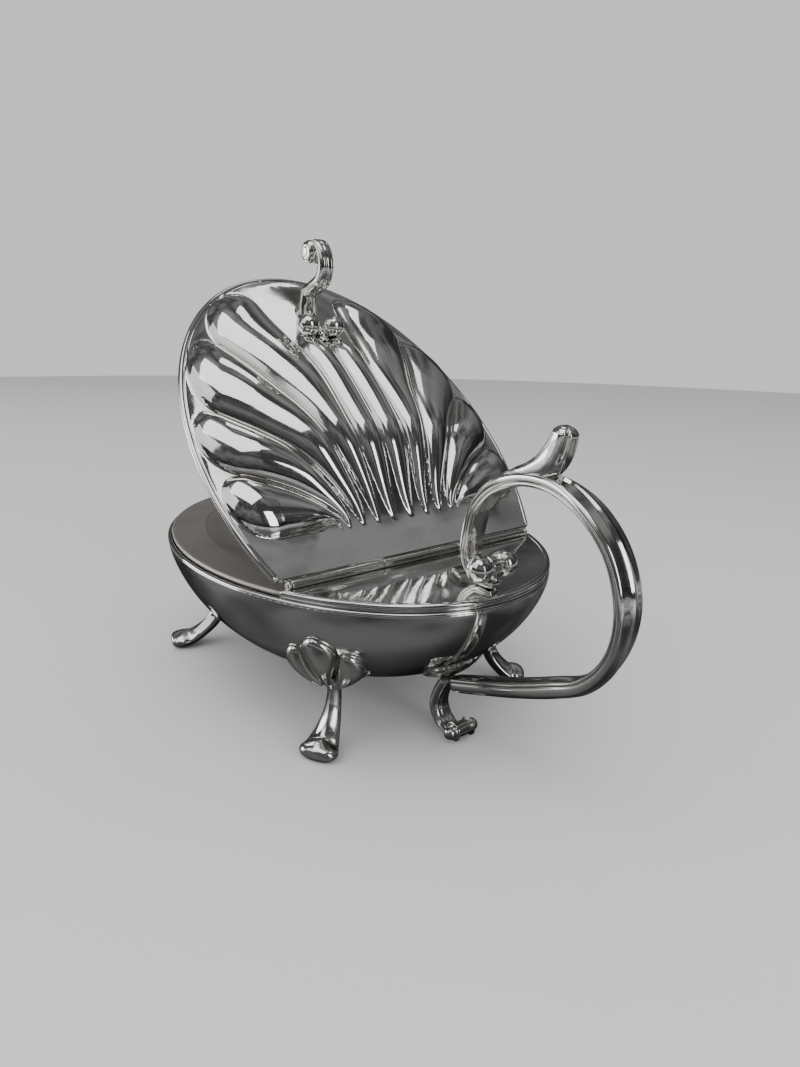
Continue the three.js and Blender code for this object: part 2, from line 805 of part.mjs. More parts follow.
// A cabriole leg: a thin neck that sweeps outwards into a flat-bottomed pad
function legBody(sideX, sideY) {
  const { x, y, outward, along, reach } = footStation(sideX, sideY);
  const hip = offBowl(x, y, seam + kneeThickness * 0.3);
  const top = hip.z - hipDrop;
  const places = [
    [0.03, top, neckDiameter * 1.3, neckDiameter * 1.1],
    [0.05, top * 0.86, neckDiameter * 1.05, neckDiameter * 1.05],
    [0.09, top * 0.66, neckDiameter * 1.15, neckDiameter * 1.1],
    [0.19, top * 0.46, neckDiameter * 1.4, neckDiameter * 1.2],
    [0.38, top * 0.29, neckDiameter * 1.9, neckDiameter * 1.25],
    [0.6, padHeight * 0.55, padWidth * 0.84, padHeight * 0.9],
    [0.79, padHeight * 0.4, padWidth, padHeight],
    [0.94, padHeight * 0.34, padWidth * 0.74, padHeight * 0.76],
    [1, padHeight * 0.3, padWidth * 0.3, padHeight * 0.3],
  ].map(([share, ...rest]) => [share * reach, ...rest]);
  const line = new THREE.CatmullRomCurve3(places.map(([out, z]) => new THREE.Vector3(out, 0, z)), false, "centripetal");
  const sizes = new THREE.CatmullRomCurve3(
    places.map(([, , width, height]) => new THREE.Vector3(width, height, 0)),
    false,
    "centripetal",
  );
  const steps = 14;
  const rings = [];
  for (let s = 0; s <= steps; s++) {
    const middle = line.getPoint(s / steps);
    const size = sizes.getPoint(s / steps);
    const ahead = line.getTangent(s / steps);
    const ring = [];
    for (let i = 0; i < wireSides; i++) {
      const turn = (2 * Math.PI * (i + 0.5)) / wireSides;
      const side = (Math.cos(turn) * size.x) / 2;
      const lift = (Math.sin(turn) * size.y) / 2;
      const out = middle.x - ahead.z * lift;
      const z = Math.max(0, middle.z + ahead.x * lift);
      ring.push(
        new THREE.Vector3(x + outward.x * out + along.x * side, y + outward.y * out + along.y * side, z),
      );
    }
    rings.push(ring);
  }
  return ringBody(rings);
}

function bossBody(side) {
  const z = lidHeight(-bossPlace, bossSpacing / 2) + bossRadius + seam;
  const boss = new THREE.SphereGeometry(bossRadius, 12, 8);
  return boss.translate(-bossPlace, (side * bossSpacing) / 2, z);
}

// How far the middle of the finial's leaf stands above the lid, and its height there
function leafRise(x) {
  const onLeaf = Math.max(0, (x - bossPlace - bossRadius) / finialLeafLength);
  return finialLeafEdge + finialLeafSwell * onLeaf * (1.3 - onLeaf);
}

function leafTop(x) {
  return lidHeight(-x, 0) + 2 * seam + leafRise(x) * 1.1;
}

// The leaf that spreads on the lid below the stem, with a tongue that runs out between the bosses
function finialLeafBody() {
  const from = bossPlace - tongueLength;
  const wide = bossPlace + bossRadius;
  const to = wide + finialLeafLength;
  const tongue = bossSpacing / 2 - bossRadius - seam;
  const rows = [];
  const under = new Map();
  for (let i = 0; i <= 12; i++) {
    const x = THREE.MathUtils.lerp(from, to, i / 12);
    const onLeaf = Math.max(0, (x - wide) / finialLeafLength);
    const onTongue = Math.min(1, (x - from) / tongueLength);
    const spread = (finialLeafWidth / 2 - tongue * 0.8) * Math.sin(Math.PI * onLeaf ** 0.7);
    const half = 0.3 + (tongue - 0.4) * Math.sqrt(onTongue) * (1 - onLeaf ** 3) + Math.max(0, spread);
    const row = [];
    for (let j = 0; j <= 6; j++) {
      const across = -1 + j / 3;
      const z = lidHeight(-x, across * half) + 2 * seam;
      const rise = leafRise(x) * (1.1 - across * across);
      const p = new THREE.Vector3(-x, across * half, z + rise);
      under.set(p, new THREE.Vector3(-x, across * half, z));
      row.push(p);
    }
    rows.push(row);
  }
  return sheetBody([rows], (p) => under.get(p));
}

// The stem leans back, then curls forwards over a roll; distances are from its foot
const stemFoot = bossPlace + stemSetback;
const stemBase = leafTop(stemFoot) + seam;
const curlPlace = [-(stemFoot + curlReach), stemBase + stemRise - curlDrop];

function finialStemBody() {
  const w = stemWidth;
  const t = stemThickness;
  const rise = [
    [0, 0, w * 1.1, t],
    [0, 0.06, w * 1.1, t],
    [0.66, 0.23, w, t],
    [0.03, 0.43, w * 1.05, t * 0.95],
    [-0.5, 0.66, w * 1.1, t],
    [-0.03, 0.87, w * 1.1, t * 0.85],
    [1.31, 1, w * 1.1, t * 0.6],
  ].map(([u, v, ...size]) => [-(stemFoot + u * stemBow), stemBase + v * stemRise, ...size]);
  const tip = curlPlace[1] + curlRadius + seam + t * 0.19;
  return strapBody([...rise, [curlPlace[0] - seam, tip, w * 1.1, t * 0.32]], 14, seam);
}

addPiece(server, "bowl", bowlBody(), silver);
addPiece(server, "bowl_rim_wire", rimWireBody(), silver);
addPiece(server, "liner", linerBody(), satinLiner);
addPiece(server, "rear_cover", coverBody(), silver);
addPiece(server, "cover_moulding", mouldingBody(), silver);

const bore = pinDiameter / 2 + seam;
const half = lidKnuckleLength / 2;
addPiece(server, "hinge_knuckle_left", atHinge(barrelBody(-barrelHalf, -half - seam, bore)), wornSilver);
addPiece(server, "hinge_knuckle_right", atHinge(barrelBody(half + seam, barrelHalf, bore)), wornSilver);
addPiece(server, "hinge_pin", atHinge(pinBody()), wornSilver);
addPiece(lid, "lid_knuckle", barrelBody(-half, half, bore), wornSilver);
addPiece(lid, "lid_shell", lidShellBody(), silver);
addPiece(lid, "lid_rim_wire", lidWireBody(), silver);
addPiece(lid, "finial_leaf", finialLeafBody(), silver);
addPiece(lid, "finial_boss_left", bossBody(-1), silver);
addPiece(lid, "finial_boss_right", bossBody(1), silver);
addPiece(lid, "finial_stem", finialStemBody(), silver);
addPiece(lid, "finial_curl", rollBody(curlRadius, curlLength, 0.4).translate(curlPlace[0], 0, curlPlace[1]), silver);

addPiece(server, "handle_strap", handleStrapBody(), silver);
addPiece(server, "thumb_rest", thumbRestBody(), silver);
const upperScroll = rollBody(upperRollRadius, upperRollLength, 0.75).translate(upperRoll[0], 0, upperRoll[1]);
addPiece(server, "upper_scroll_roll", upperScroll, silver);
addPiece(server, "handle_leaf", leafBody(), silver);
addPiece(server, "tail_scroll", tailBody(), silver);
const tailRollPiece = rollBody(tailRollRadius, tailRollLength, 0.75).translate(tailRoll[0], 0, tailRoll[1]);
addPiece(server, "tail_roll", tailRollPiece, silver);

for (const [end, sideX] of [["front", -1], ["rear", 1]]) {
  for (const [hand, sideY] of [["left", -1], ["right", 1]]) {
    addPiece(server, `knee_shell_${end}_${hand}`, kneeBody(sideX, sideY), silver);
    addPiece(server, `foot_${end}_${hand}`, legBody(sideX, sideY), silver);
  }
}

// The origin lies on the table below the middle of the whole piece
const bounds = new THREE.Box3().setFromObject(server);
server.position.x = -(bounds.min.x + bounds.max.x) / 2;

export default server;
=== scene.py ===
"""Covered oval silver server: the dressed model, its finishes, and the studio it stands in."""
import bisect
import functools
import json
import math

import bpy
from mathutils import Matrix, Vector


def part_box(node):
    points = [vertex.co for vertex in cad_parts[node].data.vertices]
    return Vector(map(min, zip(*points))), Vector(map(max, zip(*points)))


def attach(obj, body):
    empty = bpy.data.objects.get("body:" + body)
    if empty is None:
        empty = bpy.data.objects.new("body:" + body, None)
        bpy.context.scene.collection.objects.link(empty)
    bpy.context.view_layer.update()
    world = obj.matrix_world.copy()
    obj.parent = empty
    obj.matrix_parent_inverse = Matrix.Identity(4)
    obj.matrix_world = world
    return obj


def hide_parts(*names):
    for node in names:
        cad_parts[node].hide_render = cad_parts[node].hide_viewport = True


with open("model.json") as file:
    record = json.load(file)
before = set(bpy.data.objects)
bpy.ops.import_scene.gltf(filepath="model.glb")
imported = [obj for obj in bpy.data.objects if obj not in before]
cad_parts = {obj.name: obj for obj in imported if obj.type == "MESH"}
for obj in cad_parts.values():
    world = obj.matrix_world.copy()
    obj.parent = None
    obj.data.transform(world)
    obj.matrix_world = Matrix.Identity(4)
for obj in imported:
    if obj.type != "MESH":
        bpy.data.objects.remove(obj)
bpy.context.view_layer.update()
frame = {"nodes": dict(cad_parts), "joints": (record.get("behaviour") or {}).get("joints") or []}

bl_info = {
    "name": "Covered Oval Server",
    "version": (1, 0, 0),
    "blender": (4, 5, 0),
    "location": "3D View > Sidebar > Server",
    "description": "Builds a silver server with a fluted hinged lid, its finishes and a studio",
    "category": "Add Mesh",
}

BOWL_LOW, BOWL_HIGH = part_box("bowl")
COVER_LOW, COVER_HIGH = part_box("rear_cover")
LINER_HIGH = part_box("liner")[1]
RIM_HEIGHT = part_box("bowl_rim_wire")[1].z
OVAL_MIDDLE = (BOWL_LOW.x + BOWL_HIGH.x) / 2
HINGE = Vector(frame["joints"][0]["pos_m"])
BOXES = {name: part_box(name) for name in frame["nodes"]}

# Points closer together than this are one point
WELD = 2e-6

# A share past which a place counts as on the edge of its piece
ON_EDGE = 0.999

# The gap that soldered pieces keep in the frame
SOLDER_GAP = 0.0003

FULL_TURN = 2 * math.pi

# The metal of each slot of the record
METALS = {
    "polished_silver": "Polished silver plate",
    "cast_silver": "Cast silver plate",
    "hinge_silver": "Worn hinge silver",
    "satin_liner": "Satin liner metal",
}


def family(kind, name, description):
    return bpy.props.PointerProperty(type=kind, name=name, description=description)


def distance(name, default, description):
    return bpy.props.FloatProperty(
        name=name, description=description, default=default, min=0, unit="LENGTH", precision=5
    )


def turn(name, default, description):
    return bpy.props.FloatProperty(
        name=name, description=description, default=math.radians(default), subtype="ANGLE"
    )


def share(name, default, description):
    return bpy.props.FloatProperty(
        name=name, description=description, default=default, min=0, soft_max=1, subtype="FACTOR"
    )


def number(name, default, description):
    return bpy.props.FloatProperty(name=name, description=description, default=default, precision=4)


def colour(name, default, description):
    return bpy.props.FloatVectorProperty(
        name=name, description=description, default=default, size=3, subtype="COLOR", min=0, max=1
    )


class BowlSizes(bpy.types.PropertyGroup):
    length: distance("Length", BOWL_HIGH.x - BOWL_LOW.x, "The oval's length at the rim")
    width: distance("Width", BOWL_HIGH.y - BOWL_LOW.y, "The oval's width at the rim")
    rim_height: distance("Rim height", RIM_HEIGHT, "From the table to the top of the rim wire")
    underside: distance("Underside", BOWL_LOW.z, "From the table to the lowest point of the bowl")
    wall: distance("Wall", 0.0013, "Thickness of the bowl's metal")
    rim_wire: distance("Rim wire", 0.0014, "Diameter of the wire round the rim")
    roundness: number("Roundness", 3.0, "How full the belly is towards the rim")
    fall: number("Fall", 1.5, "How flat the underside is")
    moulding: distance("Moulding", 0.0017, "Depth of the double bead round the rear cover")
    bead_share: share("Bead share", 0.7, "How much of the moulding the thick bead takes")
    cover_crown: distance("Cover crown", 0.0004, "How far the rear cover swells in its middle")


class LinerSizes(bpy.types.PropertyGroup):
    inset: distance("Inset", 0.0014, "From the bowl's rim in to the liner's edge")
    flange: distance("Flange", 0.011, "Width of the flat flange")
    depth: distance("Depth", 0.0065, "Depth of the basin below the flange")
    wall: distance("Wall", 0.001, "Thickness of the liner's metal")


class LidSizes(bpy.types.PropertyGroup):
    opening: turn("Opening", 44, "How far the lid stands open at rest")
    wall: distance("Wall", 0.0012, "Thickness of the lid's metal")
    wire: distance("Edge wire", 0.0018, "Diameter of the wire round the lid")
    wire_inset: distance("Wire inset", 0.0002, "From the bowl's rim in to the wire")
    dome: distance("Dome", 0.009, "Height of the lid's dome without its flutes")
    dome_start: distance("Dome start", 0.008, "From the hinge to where the dome begins")
    dome_rise: distance("Dome rise", 0.034, "Over which length the dome rises")
    roundness: number("Roundness", 1.7, "How round the dome is")
    edge_ease: number("Edge ease", 0.22, "How soon the dome flattens towards its edge")
    fall: share("Fall", 0.17, "How much of the dome's height it loses beside the thumbpiece")
    fall_place: distance("Fall place", 0.09, "From the hinge to the middle of that fall")
    fall_length: distance("Fall length", 0.014, "How far the fall reaches along the lid")
    fall_width: distance("Fall width", 0.008, "Over which width beside the thumbpiece it falls")
    flute_root_turns: bpy.props.FloatVectorProperty(
        name="Flute roots",
        description="Degrees of the fan that each flute of a side takes by the row, outermost first",
        size=5,
        default=(22, 19, 18, 14, 17),
    )
    flute_tip_turns: bpy.props.FloatVectorProperty(
        name="Flute tips",
        description="The same near the border, where the two in the middle draw together",
        size=5,
        default=(26, 19, 19, 16.5, 9.5),
    )
    gather_start: share("Gather start", 0.12, "Where the flutes begin to draw together")
    gather_length: share("Gather length", 0.45, "Over which share of the fan they do")
    flute_depth: distance("Flute depth", 0.0042, "How far each flute swells")
    flute_fullness: number("Flute fullness", 0.62, "Below 1 the flutes are fuller at their sides")
    flute_rise: share("Flute rise", 0.42, "Share of its way over which a flute rises from the row")
    flute_full: share("Flute full", 0.7, "Share of its way at which a flute reaches its full depth")
    inner_level: share("Middle level", 0.85, "Depth of the two middle flutes, as a share of the others'")
    fan_start: distance("Fan start", 0.0134, "From the hinge to the row where the flutes begin")
    fan_width: distance("Fan width", 0.022, "Half the width of that row")
    border: distance("Border", 0.0005, "Plain border between the flutes' noses and the edge")
    middle_end: distance("Middle flutes", 0.08, "From the hinge to the noses of the two middle flutes")
    nose: distance("Nose", 0.0105, "Length over which a flute rounds down to its nose")
    barrel: distance("Barrel", 0.0025, "Diameter of the hinge's barrels")


class ThumbpieceSizes(bpy.types.PropertyGroup):
    place: distance("Place", 0.082, "From the hinge to the two bosses")
    boss: distance("Boss", 0.0068, "Diameter of each boss")
    spacing: distance("Spacing", 0.0092, "Between the middles of the bosses")
    stem_width: distance("Stem width", 0.0048, "Width of the stem")
    stem_depth: distance("Stem depth", 0.0048, "Thickness of the stem")
    rise: distance("Rise", 0.0196, "Height of the stem above its leaf")
    bow: distance("Bow", 0.0032, "How far the stem bows back")
    curl: distance("Curl", 0.0068, "Diameter of the roll at its end")
    curl_length: distance("Curl length", 0.0064, "Length of that roll")
    seat: share("Seat", 0.92, "Height of a boss's middle above the lid, as a share of its radius")
    stem_place: distance("Stem place", 0.0104, "From the bosses to the stem's foot")
    stem_lift: distance("Stem lift", 0.0022, "How far the stem's foot stands above the lid")
    reed: share("Reed", 0.17, "Depth of the grooves between the stem's reeds")
    leaf_start: distance("Leaf start", 0.0775, "From the hinge to the leaf's tip in front of the bosses")
    leaf_end: distance("Leaf end", 0.0975, "From the hinge to the leaf's tip behind the stem")


class HandleSizes(bpy.types.PropertyGroup):
    width: distance("Width", 0.0057, "Width of the strap")
    swell: distance("Swell", 0.0024, "How much wider it is along the back of the loop")
    thickness: distance("Thickness", 0.0026, "Thickness of the strap")
    front_swell: number("Front swell", 1.6, "How much thicker the strap is at the front of the loop")
    arm_swell: number("Arm swell", 1.9, "How much thicker it is below the loop")
    inset: distance("Inset", 0.0139, "From the bowl's rim in to the front of the loop")
    loop_width: distance("Loop width", 0.047, "Width of the loop")
    loop_rise: distance("Loop rise", 0.0303, "Height of the loop above the rear cover")
    leaf_inset: distance("Leaf inset", 0.019, "From the rim in to the leaf below the bowl")
    leaf_length: distance("Leaf length", 0.022, "Length of that leaf across the bowl")
    leaf_width: distance("Leaf width", 0.008, "Width of that leaf")
    roll: distance("Upper roll", 0.0062, "Diameter of the roll on the cover")
    roll_length: distance("Upper roll length", 0.0156, "Length of that roll")
    roll_inset: distance("Upper roll inset", 0.0059, "From the bowl's rim in to the roll")
    tail: distance("Tail roll", 0.0054, "Diameter of the roll below the bowl")
    tail_length: distance("Tail roll length", 0.0116, "Length of that roll")
    tail_bow: distance("Tail bow", 0.0056, "How far the tail scroll bows forward")
    tail_width: distance("Tail width", 0.0064, "Width of the tail scroll")
    leaf_thickness: distance("Leaf thickness", 0.0019, "Thickness of the leaf below the bowl")
    spur_height: distance("Spur height", 0.0106, "Height of the thumb rest above the loop")
    spur_lean: distance("Spur lean", 0.0031, "How far the thumb rest leans back")


class FootSizes(bpy.types.PropertyGroup):
    level: share("Level", 0.75, "Place of a foot between the bowl's middle and its rim")
    front_angle: turn("Front angle", 44.5, "Place of a front foot round the oval")
    front_splay: turn("Front splay", 68, "The way a front foot points")
    front_reach: distance("Front reach", 0.0186, "How far a front foot reaches out")
    rear_angle: turn("Rear angle", 46, "Place of a rear foot round the oval")
    rear_splay: turn("Rear splay", 58, "The way a rear foot points")
    rear_reach: distance("Rear reach", 0.013, "How far a rear foot reaches out")
    shell: distance("Shell", 0.0155, "Radius of the fan of lobes above a leg")
    shell_swell: distance("Shell swell", 0.005, "How far its lobes swell")
    shell_spread: turn("Shell spread", 94, "How far the fan spreads to each side")
    neck: distance("Neck", 0.0034, "Diameter of a leg's neck")
    pad_width: distance("Pad width", 0.0112, "Width of a foot's pad")
    pad_height: distance("Pad height", 0.0056, "Height of a foot's pad")


class FinishSettings(bpy.types.PropertyGroup):
    plate: colour("Silver", (0.86, 0.86, 0.845), "Polished silver plate")
    cast: colour("Cast silver", (0.85, 0.845, 0.825), "Cast and polished pieces")
    hinge: colour("Hinge", (0.72, 0.71, 0.68), "Worn silver of the hinge")
    liner: colour("Liner", (0.62, 0.585, 0.55), "Warm grey satin of the liner")
    tarnish: colour("Tarnish", (0.2, 0.165, 0.12), "Tarnish in the hollows")


class StageSettings(bpy.types.PropertyGroup):
    lens: number("Lens", 22.69, "Focal length of the camera, in millimetres")
    floor: colour("Floor", (0.8, 0.8, 0.79), "Pale matt floor")
    reach: distance("Floor reach", 1.6, "Radius of the floor")
    room: number("Room", 0.8, "Brightness of the room")
    aim: distance("Lamps' aim", 0.06, "Height above the floor that all lamps look at")


class ServerSettings(bpy.types.PropertyGroup):
    bowl: family(BowlSizes, "Bowl", "Sizes of the bowl")
    liner: family(LinerSizes, "Liner", "Sizes of the liner")
    lid: family(LidSizes, "Lid", "Sizes of the lid")
    thumbpiece: family(ThumbpieceSizes, "Thumbpiece", "Sizes of the lid's thumbpiece")
    handle: family(HandleSizes, "Handle", "Sizes of the handle")
    feet: family(FootSizes, "Feet", "Sizes of the feet")
    finish: family(FinishSettings, "Finish", "Colours")
    stage: family(StageSettings, "Stage", "Camera, floor and room")


# Shaping tools


def pick_nothing():
    if bpy.context.object and bpy.context.object.mode != "OBJECT":
        bpy.ops.object.mode_set(mode="OBJECT")
    bpy.ops.object.select_all(action="DESELECT")


def pick(piece, *others):
    pick_nothing()
    for one in (piece, *others):
        one.select_set(True)
    bpy.context.view_layer.objects.active = piece


def weld(piece):
    """Merges points that lie on each other and turns all faces outwards."""
    pick(piece)
    bpy.ops.object.mode_set(mode="EDIT")
    bpy.ops.mesh.select_all(action="SELECT")
    bpy.ops.mesh.remove_doubles(threshold=WELD)
    bpy.ops.mesh.normals_make_consistent(inside=False)
    bpy.ops.object.mode_set(mode="OBJECT")


def wrapped_grid(name, columns, rows, place, hollow=None):
    """A grid whose points are laid on a surface by place(across, along), both from 0 to 1.
    The attribute that the finishes read for tarnish comes from hollow(across, along)."""
    pick_nothing()
    bpy.ops.mesh.primitive_grid_add(x_subdivisions=columns, y_subdivisions=rows, size=2)
    piece = bpy.context.object
    piece.name = name
    mask = piece.data.attributes.new("hollow", "FLOAT", "POINT")
    for index, point in enumerate(piece.data.vertices):
        across, along = (point.co.x + 1) / 2, (point.co.y + 1) / 2
        point.co = place(across, along)
        mask.data[index].value = hollow(across, along) if hollow else 0
    weld(piece)
    bpy.ops.object.shade_smooth()
    return piece


def between(low, high, part):
    return low + (high - low) * part


def smooth(part):
    part = min(1, max(0, part))
    return part * part * (3 - 2 * part)


def smooth_line(places):
    """A smooth curve through places, lists of equal length whose first two values are its course.
    Returns a function of 0 to 1 that gives the values there."""
    before_first = [2 * a - b for a, b in zip(places[0], places[1])]
    after_last = [2 * a - b for a, b in zip(places[-1], places[-2])]
    knots = [before_first, *places, after_last]

    def at(part):
        spans = len(places) - 1
        span = min(spans - 1, int(part * spans))
        t = part * spans - span
        a, b, c, d = knots[span : span + 4]
        gaps = [max(1e-6, math.dist(p[:2], q[:2])) ** 0.5 for p, q in ((a, b), (b, c), (c, d))]
        values = []
        for p, q, r, s in zip(a, b, c, d):
            leave = ((q - p) / gaps[0] - (r - p) / (gaps[0] + gaps[1]) + (r - q) / gaps[1]) * gaps[1]
            meet = ((r - q) / gaps[1] - (s - q) / (gaps[1] + gaps[2]) + (s - r) / gaps[2]) * gaps[1]
            bend = -3 * q + 3 * r - 2 * leave - meet
            turn_back = 2 * q - 2 * r + leave + meet
            values.append(q + leave * t + bend * t * t + turn_back * t * t * t)
        return values

    return at


def rounded_end(along, start, end):
    """How far a bar's section has closed: 1 along its length, 0 at its two ends."""
    if start and along < start:
        return math.sqrt(max(0, 1 - ((start - along) / start) ** 2))
    if end and along > 1 - end:
        return math.sqrt(max(0, 1 - ((along - 1 + end) / end) ** 2))
    return 1


def stretched(shape, out, up, wide, high):
    """Places of a bar from a shape drawn in shares of a width and a height, from out and up."""
    return [(out + u * wide, up + v * high, *size) for u, v, *size in shape]


def swept_bar(name, places, section, stand, steps, sides, ends, hollow=None):
    """A bar along places of (out, up, width, thickness) in one plane.
    section(turn, along) gives its side and its lift, from -1 to 1, and stand places a point."""
    line = smooth_line(places)
    look = 0.004

    def place(around, along):
        out, up, width, thickness = line(along)
        before, after = line(max(0, along - look)), line(min(1, along + look))
        ahead = Vector((after[0] - before[0], after[1] - before[1])).normalized()
        close = rounded_end(along, *ends)
        side, lift = section(FULL_TURN * around, along)
        lift *= close * thickness / 2
        return stand(out - ahead.y * lift, side * close * width / 2, up + ahead.x * lift)

    return wrapped_grid(name, sides, steps, place, hollow)


def power(value, exponent):
    return math.copysign(abs(value) ** exponent, value)


def soft_corners(angle, across=0.8, over=0.85):
    """A bar's section between a circle and a rectangle."""
    return power(math.cos(angle), across), power(math.sin(angle), over)


def reed_groove(side):
    """How deep the grooves are between three reeds on a bar's face: 0 on a reed, 1 between two."""
    return 1 - abs(math.cos(1.5 * math.pi * side))


def outline_section(half):
    """A section from its right half, places of (side, lift) from the crest round to the inner face."""
    points = half + [(-side, lift) for side, lift in reversed(half[1:-1])]
    around = smooth_line([*points, points[0]])

    def section(angle, along):
        return around((angle / FULL_TURN) % 1)

    return section


def mirrored(half, middle=0.0):
    """A profile from the (radius, across) places of one half, which ends on its middle or before."""
    other = [(radius, 2 * middle - across) for radius, across in reversed(half)]
    return half + (other[1:] if half[-1][1] == middle else other)


def turned_body(name, profile, stand, steps, sides, groove=0.0, count=0, body=(0.0, 1.0)):
    """A body turned about a line across the dish: profile holds (radius, across) places.
    Between the two shares in body its round is cut by count lengthwise grooves."""
    line = smooth_line(profile)
    groove_ends = 12

    def in_body(along):
        return count and body[0] < along < body[1]

    def place(around, along):
        radius, across = line(along)
        angle = FULL_TURN * around
        if in_body(along):
            level = min(1, groove_ends * min(along - body[0], body[1] - along))
            radius *= 1 - groove * level * (1 - abs(math.sin(count * angle / 2))) ** 2
        return stand(max(0, radius) * math.cos(angle), across, max(0, radius) * math.sin(angle))

    def hollow(around, along):
        return (1 - abs(math.sin(count * math.pi * around))) ** 2 if in_body(along) else 0

    return wrapped_grid(name, sides, steps, place, hollow)


def finished(piece, node, body, slot):
    """Gives a piece its finish, lets it move with its body and stands it in for the CAD node."""
    piece.data.materials.clear()
    piece.data.materials.append(bpy.data.materials[METALS[slot]])
    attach(piece, body)
    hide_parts(node)


# The forms of the dish


def oval_point(bowl, angle, inset, height):
    return Vector(
        (
            OVAL_MIDDLE + (bowl.length / 2 - inset) * math.cos(angle),
            (bowl.width / 2 - inset) * math.sin(angle),
            height,
        )
    )


def belly_height(bowl, reach):
    """Height of the bowl's outer face where its oval has shrunk to a share of the rim's."""
    drop = (1 - min(1, reach) ** bowl.roundness) ** (1 / bowl.fall)
    top = bowl.rim_height - bowl.rim_wire / 2
    return between(top, bowl.underside, drop)


def belly_point(bowl, x, y, off=0.0):
    """A point a given distance off the bowl's outer face."""

    def at(x, y):
        reach = math.hypot((x - OVAL_MIDDLE) / (bowl.length / 2), y / (bowl.width / 2))
        return Vector((x, y, belly_height(bowl, reach)))

    step = 5e-5
    along_x = at(x + step, y) - at(x - step, y)
    along_y = at(x, y + step) - at(x, y - step)
    return at(x, y) + along_y.cross(along_x).normalized() * off


def crossing_angle(bowl, x, inset):
    """The angle at which an oval drawn in from the rim crosses a place along the dish."""
    return math.acos((x - OVAL_MIDDLE) / (bowl.length / 2 - inset))


def wire_point(bowl, angle, inset, height, out, up):
    """A point beside a path round the oval, out and up from it."""
    normal = Vector(
        (math.cos(angle) / (bowl.length / 2 - inset), math.sin(angle) / (bowl.width / 2 - inset), 0)
    ).normalized()
    return oval_point(bowl, angle, inset, height) + normal * out + Vector((0, 0, up))


def swept_rim(name, bowl, inset, height, section, first=0.0, last=FULL_TURN, steps=260, sides=24):
    """A wire or moulding that follows the oval between two angles; section(turn) gives out and up."""
    is_hoop = last - first == FULL_TURN
    end = 0 if is_hoop else 0.006

    def place(around, along):
        out, up = section(FULL_TURN * around)
        close = rounded_end(along, end, end)
        return wire_point(bowl, between(first, last, along), inset, height, out * close, up * close)

    return wrapped_grid(name, sides, steps, place)


def build_bowl(bowl):
    """The bowl's outer face from its lowest point to the rim, and its inner face back down."""
    seat = bowl.rim_height - bowl.rim_wire / 2

    def place(across, along):
        angle = FULL_TURN * across
        outside = along <= 0.5
        part = 2 * along if outside else 2 - 2 * along
        reach = math.sin(part * math.pi / 2)
        wall = 0 if outside else bowl.wall
        height = min(seat, belly_height(bowl, reach) + wall)
        return Vector(
            (
                OVAL_MIDDLE + (bowl.length / 2 - wall) * reach * math.cos(angle),
                (bowl.width / 2 - wall) * reach * math.sin(angle),
                height,
            )
        )

    return wrapped_grid("silver_bowl", 192, 96, place)


def round_section(radius):
    def section(angle):
        return radius * math.cos(angle), radius * math.sin(angle)

    return section


def moulding_section(bowl, height):
    """A thick bead over a thin one with a fine groove between, flat towards the cover."""
    split = height * (1 - bowl.bead_share)
    thin_bead_back = 0.00035
    outline = []
    for low, high, back in ((0, split, thin_bead_back), (split, height, 0)):
        radius = (high - low) / 2
        for degrees in range(-84, 85, 28):
            angle = math.radians(degrees)
            out = radius * math.cos(angle) - radius - back
            outline.append((out, (low + high) / 2 + radius * math.sin(angle)))
    outline.append((-bowl.moulding, height))
    outline.append((-bowl.moulding, 0))
    count = len(outline)

    def section(angle):
        place = angle / FULL_TURN * count
        index = int(place) % count
        part = place - int(place)
        a, b = outline[index], outline[(index + 1) % count]
        return between(a[0], b[0], part), between(a[1], b[1], part)

    return section, count


def mouth_point(bowl, around, inset, chord):
    """Outline of the mouth in front of the hinge: an arc of the oval closed by a straight chord."""
    first = crossing_angle(bowl, chord, inset)
    arc_share = 0.8
    if around <= arc_share:
        return oval_point(bowl, between(first, FULL_TURN - first, around / arc_share), inset, 0)
    corner = oval_point(bowl, first, inset, 0).y
    return Vector((chord, between(-corner, corner, (around - arc_share) / (1 - arc_share)), 0))


def build_liner(settings):
    bowl, liner = settings.bowl, settings.liner
    top, chord = LINER_HIGH.z, LINER_HIGH.x
    bottom = Vector((OVAL_MIDDLE - bowl.length / 8, 0, 0))
    lip = 0.0002
    lip_share = 0.85
    line_share, line_width, line_depth = 0.82, 0.014, 0.0001
    face_share = 0.7
    # Shares of the way from edge to flange's end, then of the basin, with their drop
    profile = smooth_line(
        [
            (1.0, 0.0, 0.75), (0.97, 0.0, 0.2), (0.9, 0.0, 0.0), (0.5, 0.0, 0.0),
            (0.2, 0.0, 0.02), (0.0, 0.0, 0.07), (0.0, 0.05, 0.17), (0.0, 0.12, 0.34),
            (0.0, 0.24, 0.58), (0.0, 0.42, 0.82), (0.0, 0.65, 0.96), (0.0, 1.0, 1.0),
        ]
    )

    def place(across, along):
        upper = along <= face_share
        part = along / face_share if upper else (1 - along) / (1 - face_share)
        out, way_in, drop = profile(1 - part)
        out, way_in, drop = max(0, min(1, out)), max(0, min(1, way_in)), max(0, drop)
        edge = mouth_point(bowl, across, liner.inset, chord)
        brink = mouth_point(bowl, across, liner.inset + liner.flange, chord - liner.flange)
        point = brink.lerp(edge, out).lerp(bottom, way_in)
        line = line_depth * math.exp(-(((out - line_share) / line_width) ** 2)) if upper else 0
        fall = drop * (lip + liner.wall / 2) if out > lip_share else drop * liner.depth
        point.z = top - line - (fall if upper else max(fall, 0) + liner.wall)
        if out > ON_EDGE:
            point.z = top - liner.wall / 2
        return point

    return wrapped_grid("satin_liner_tray", 220, 150, place)


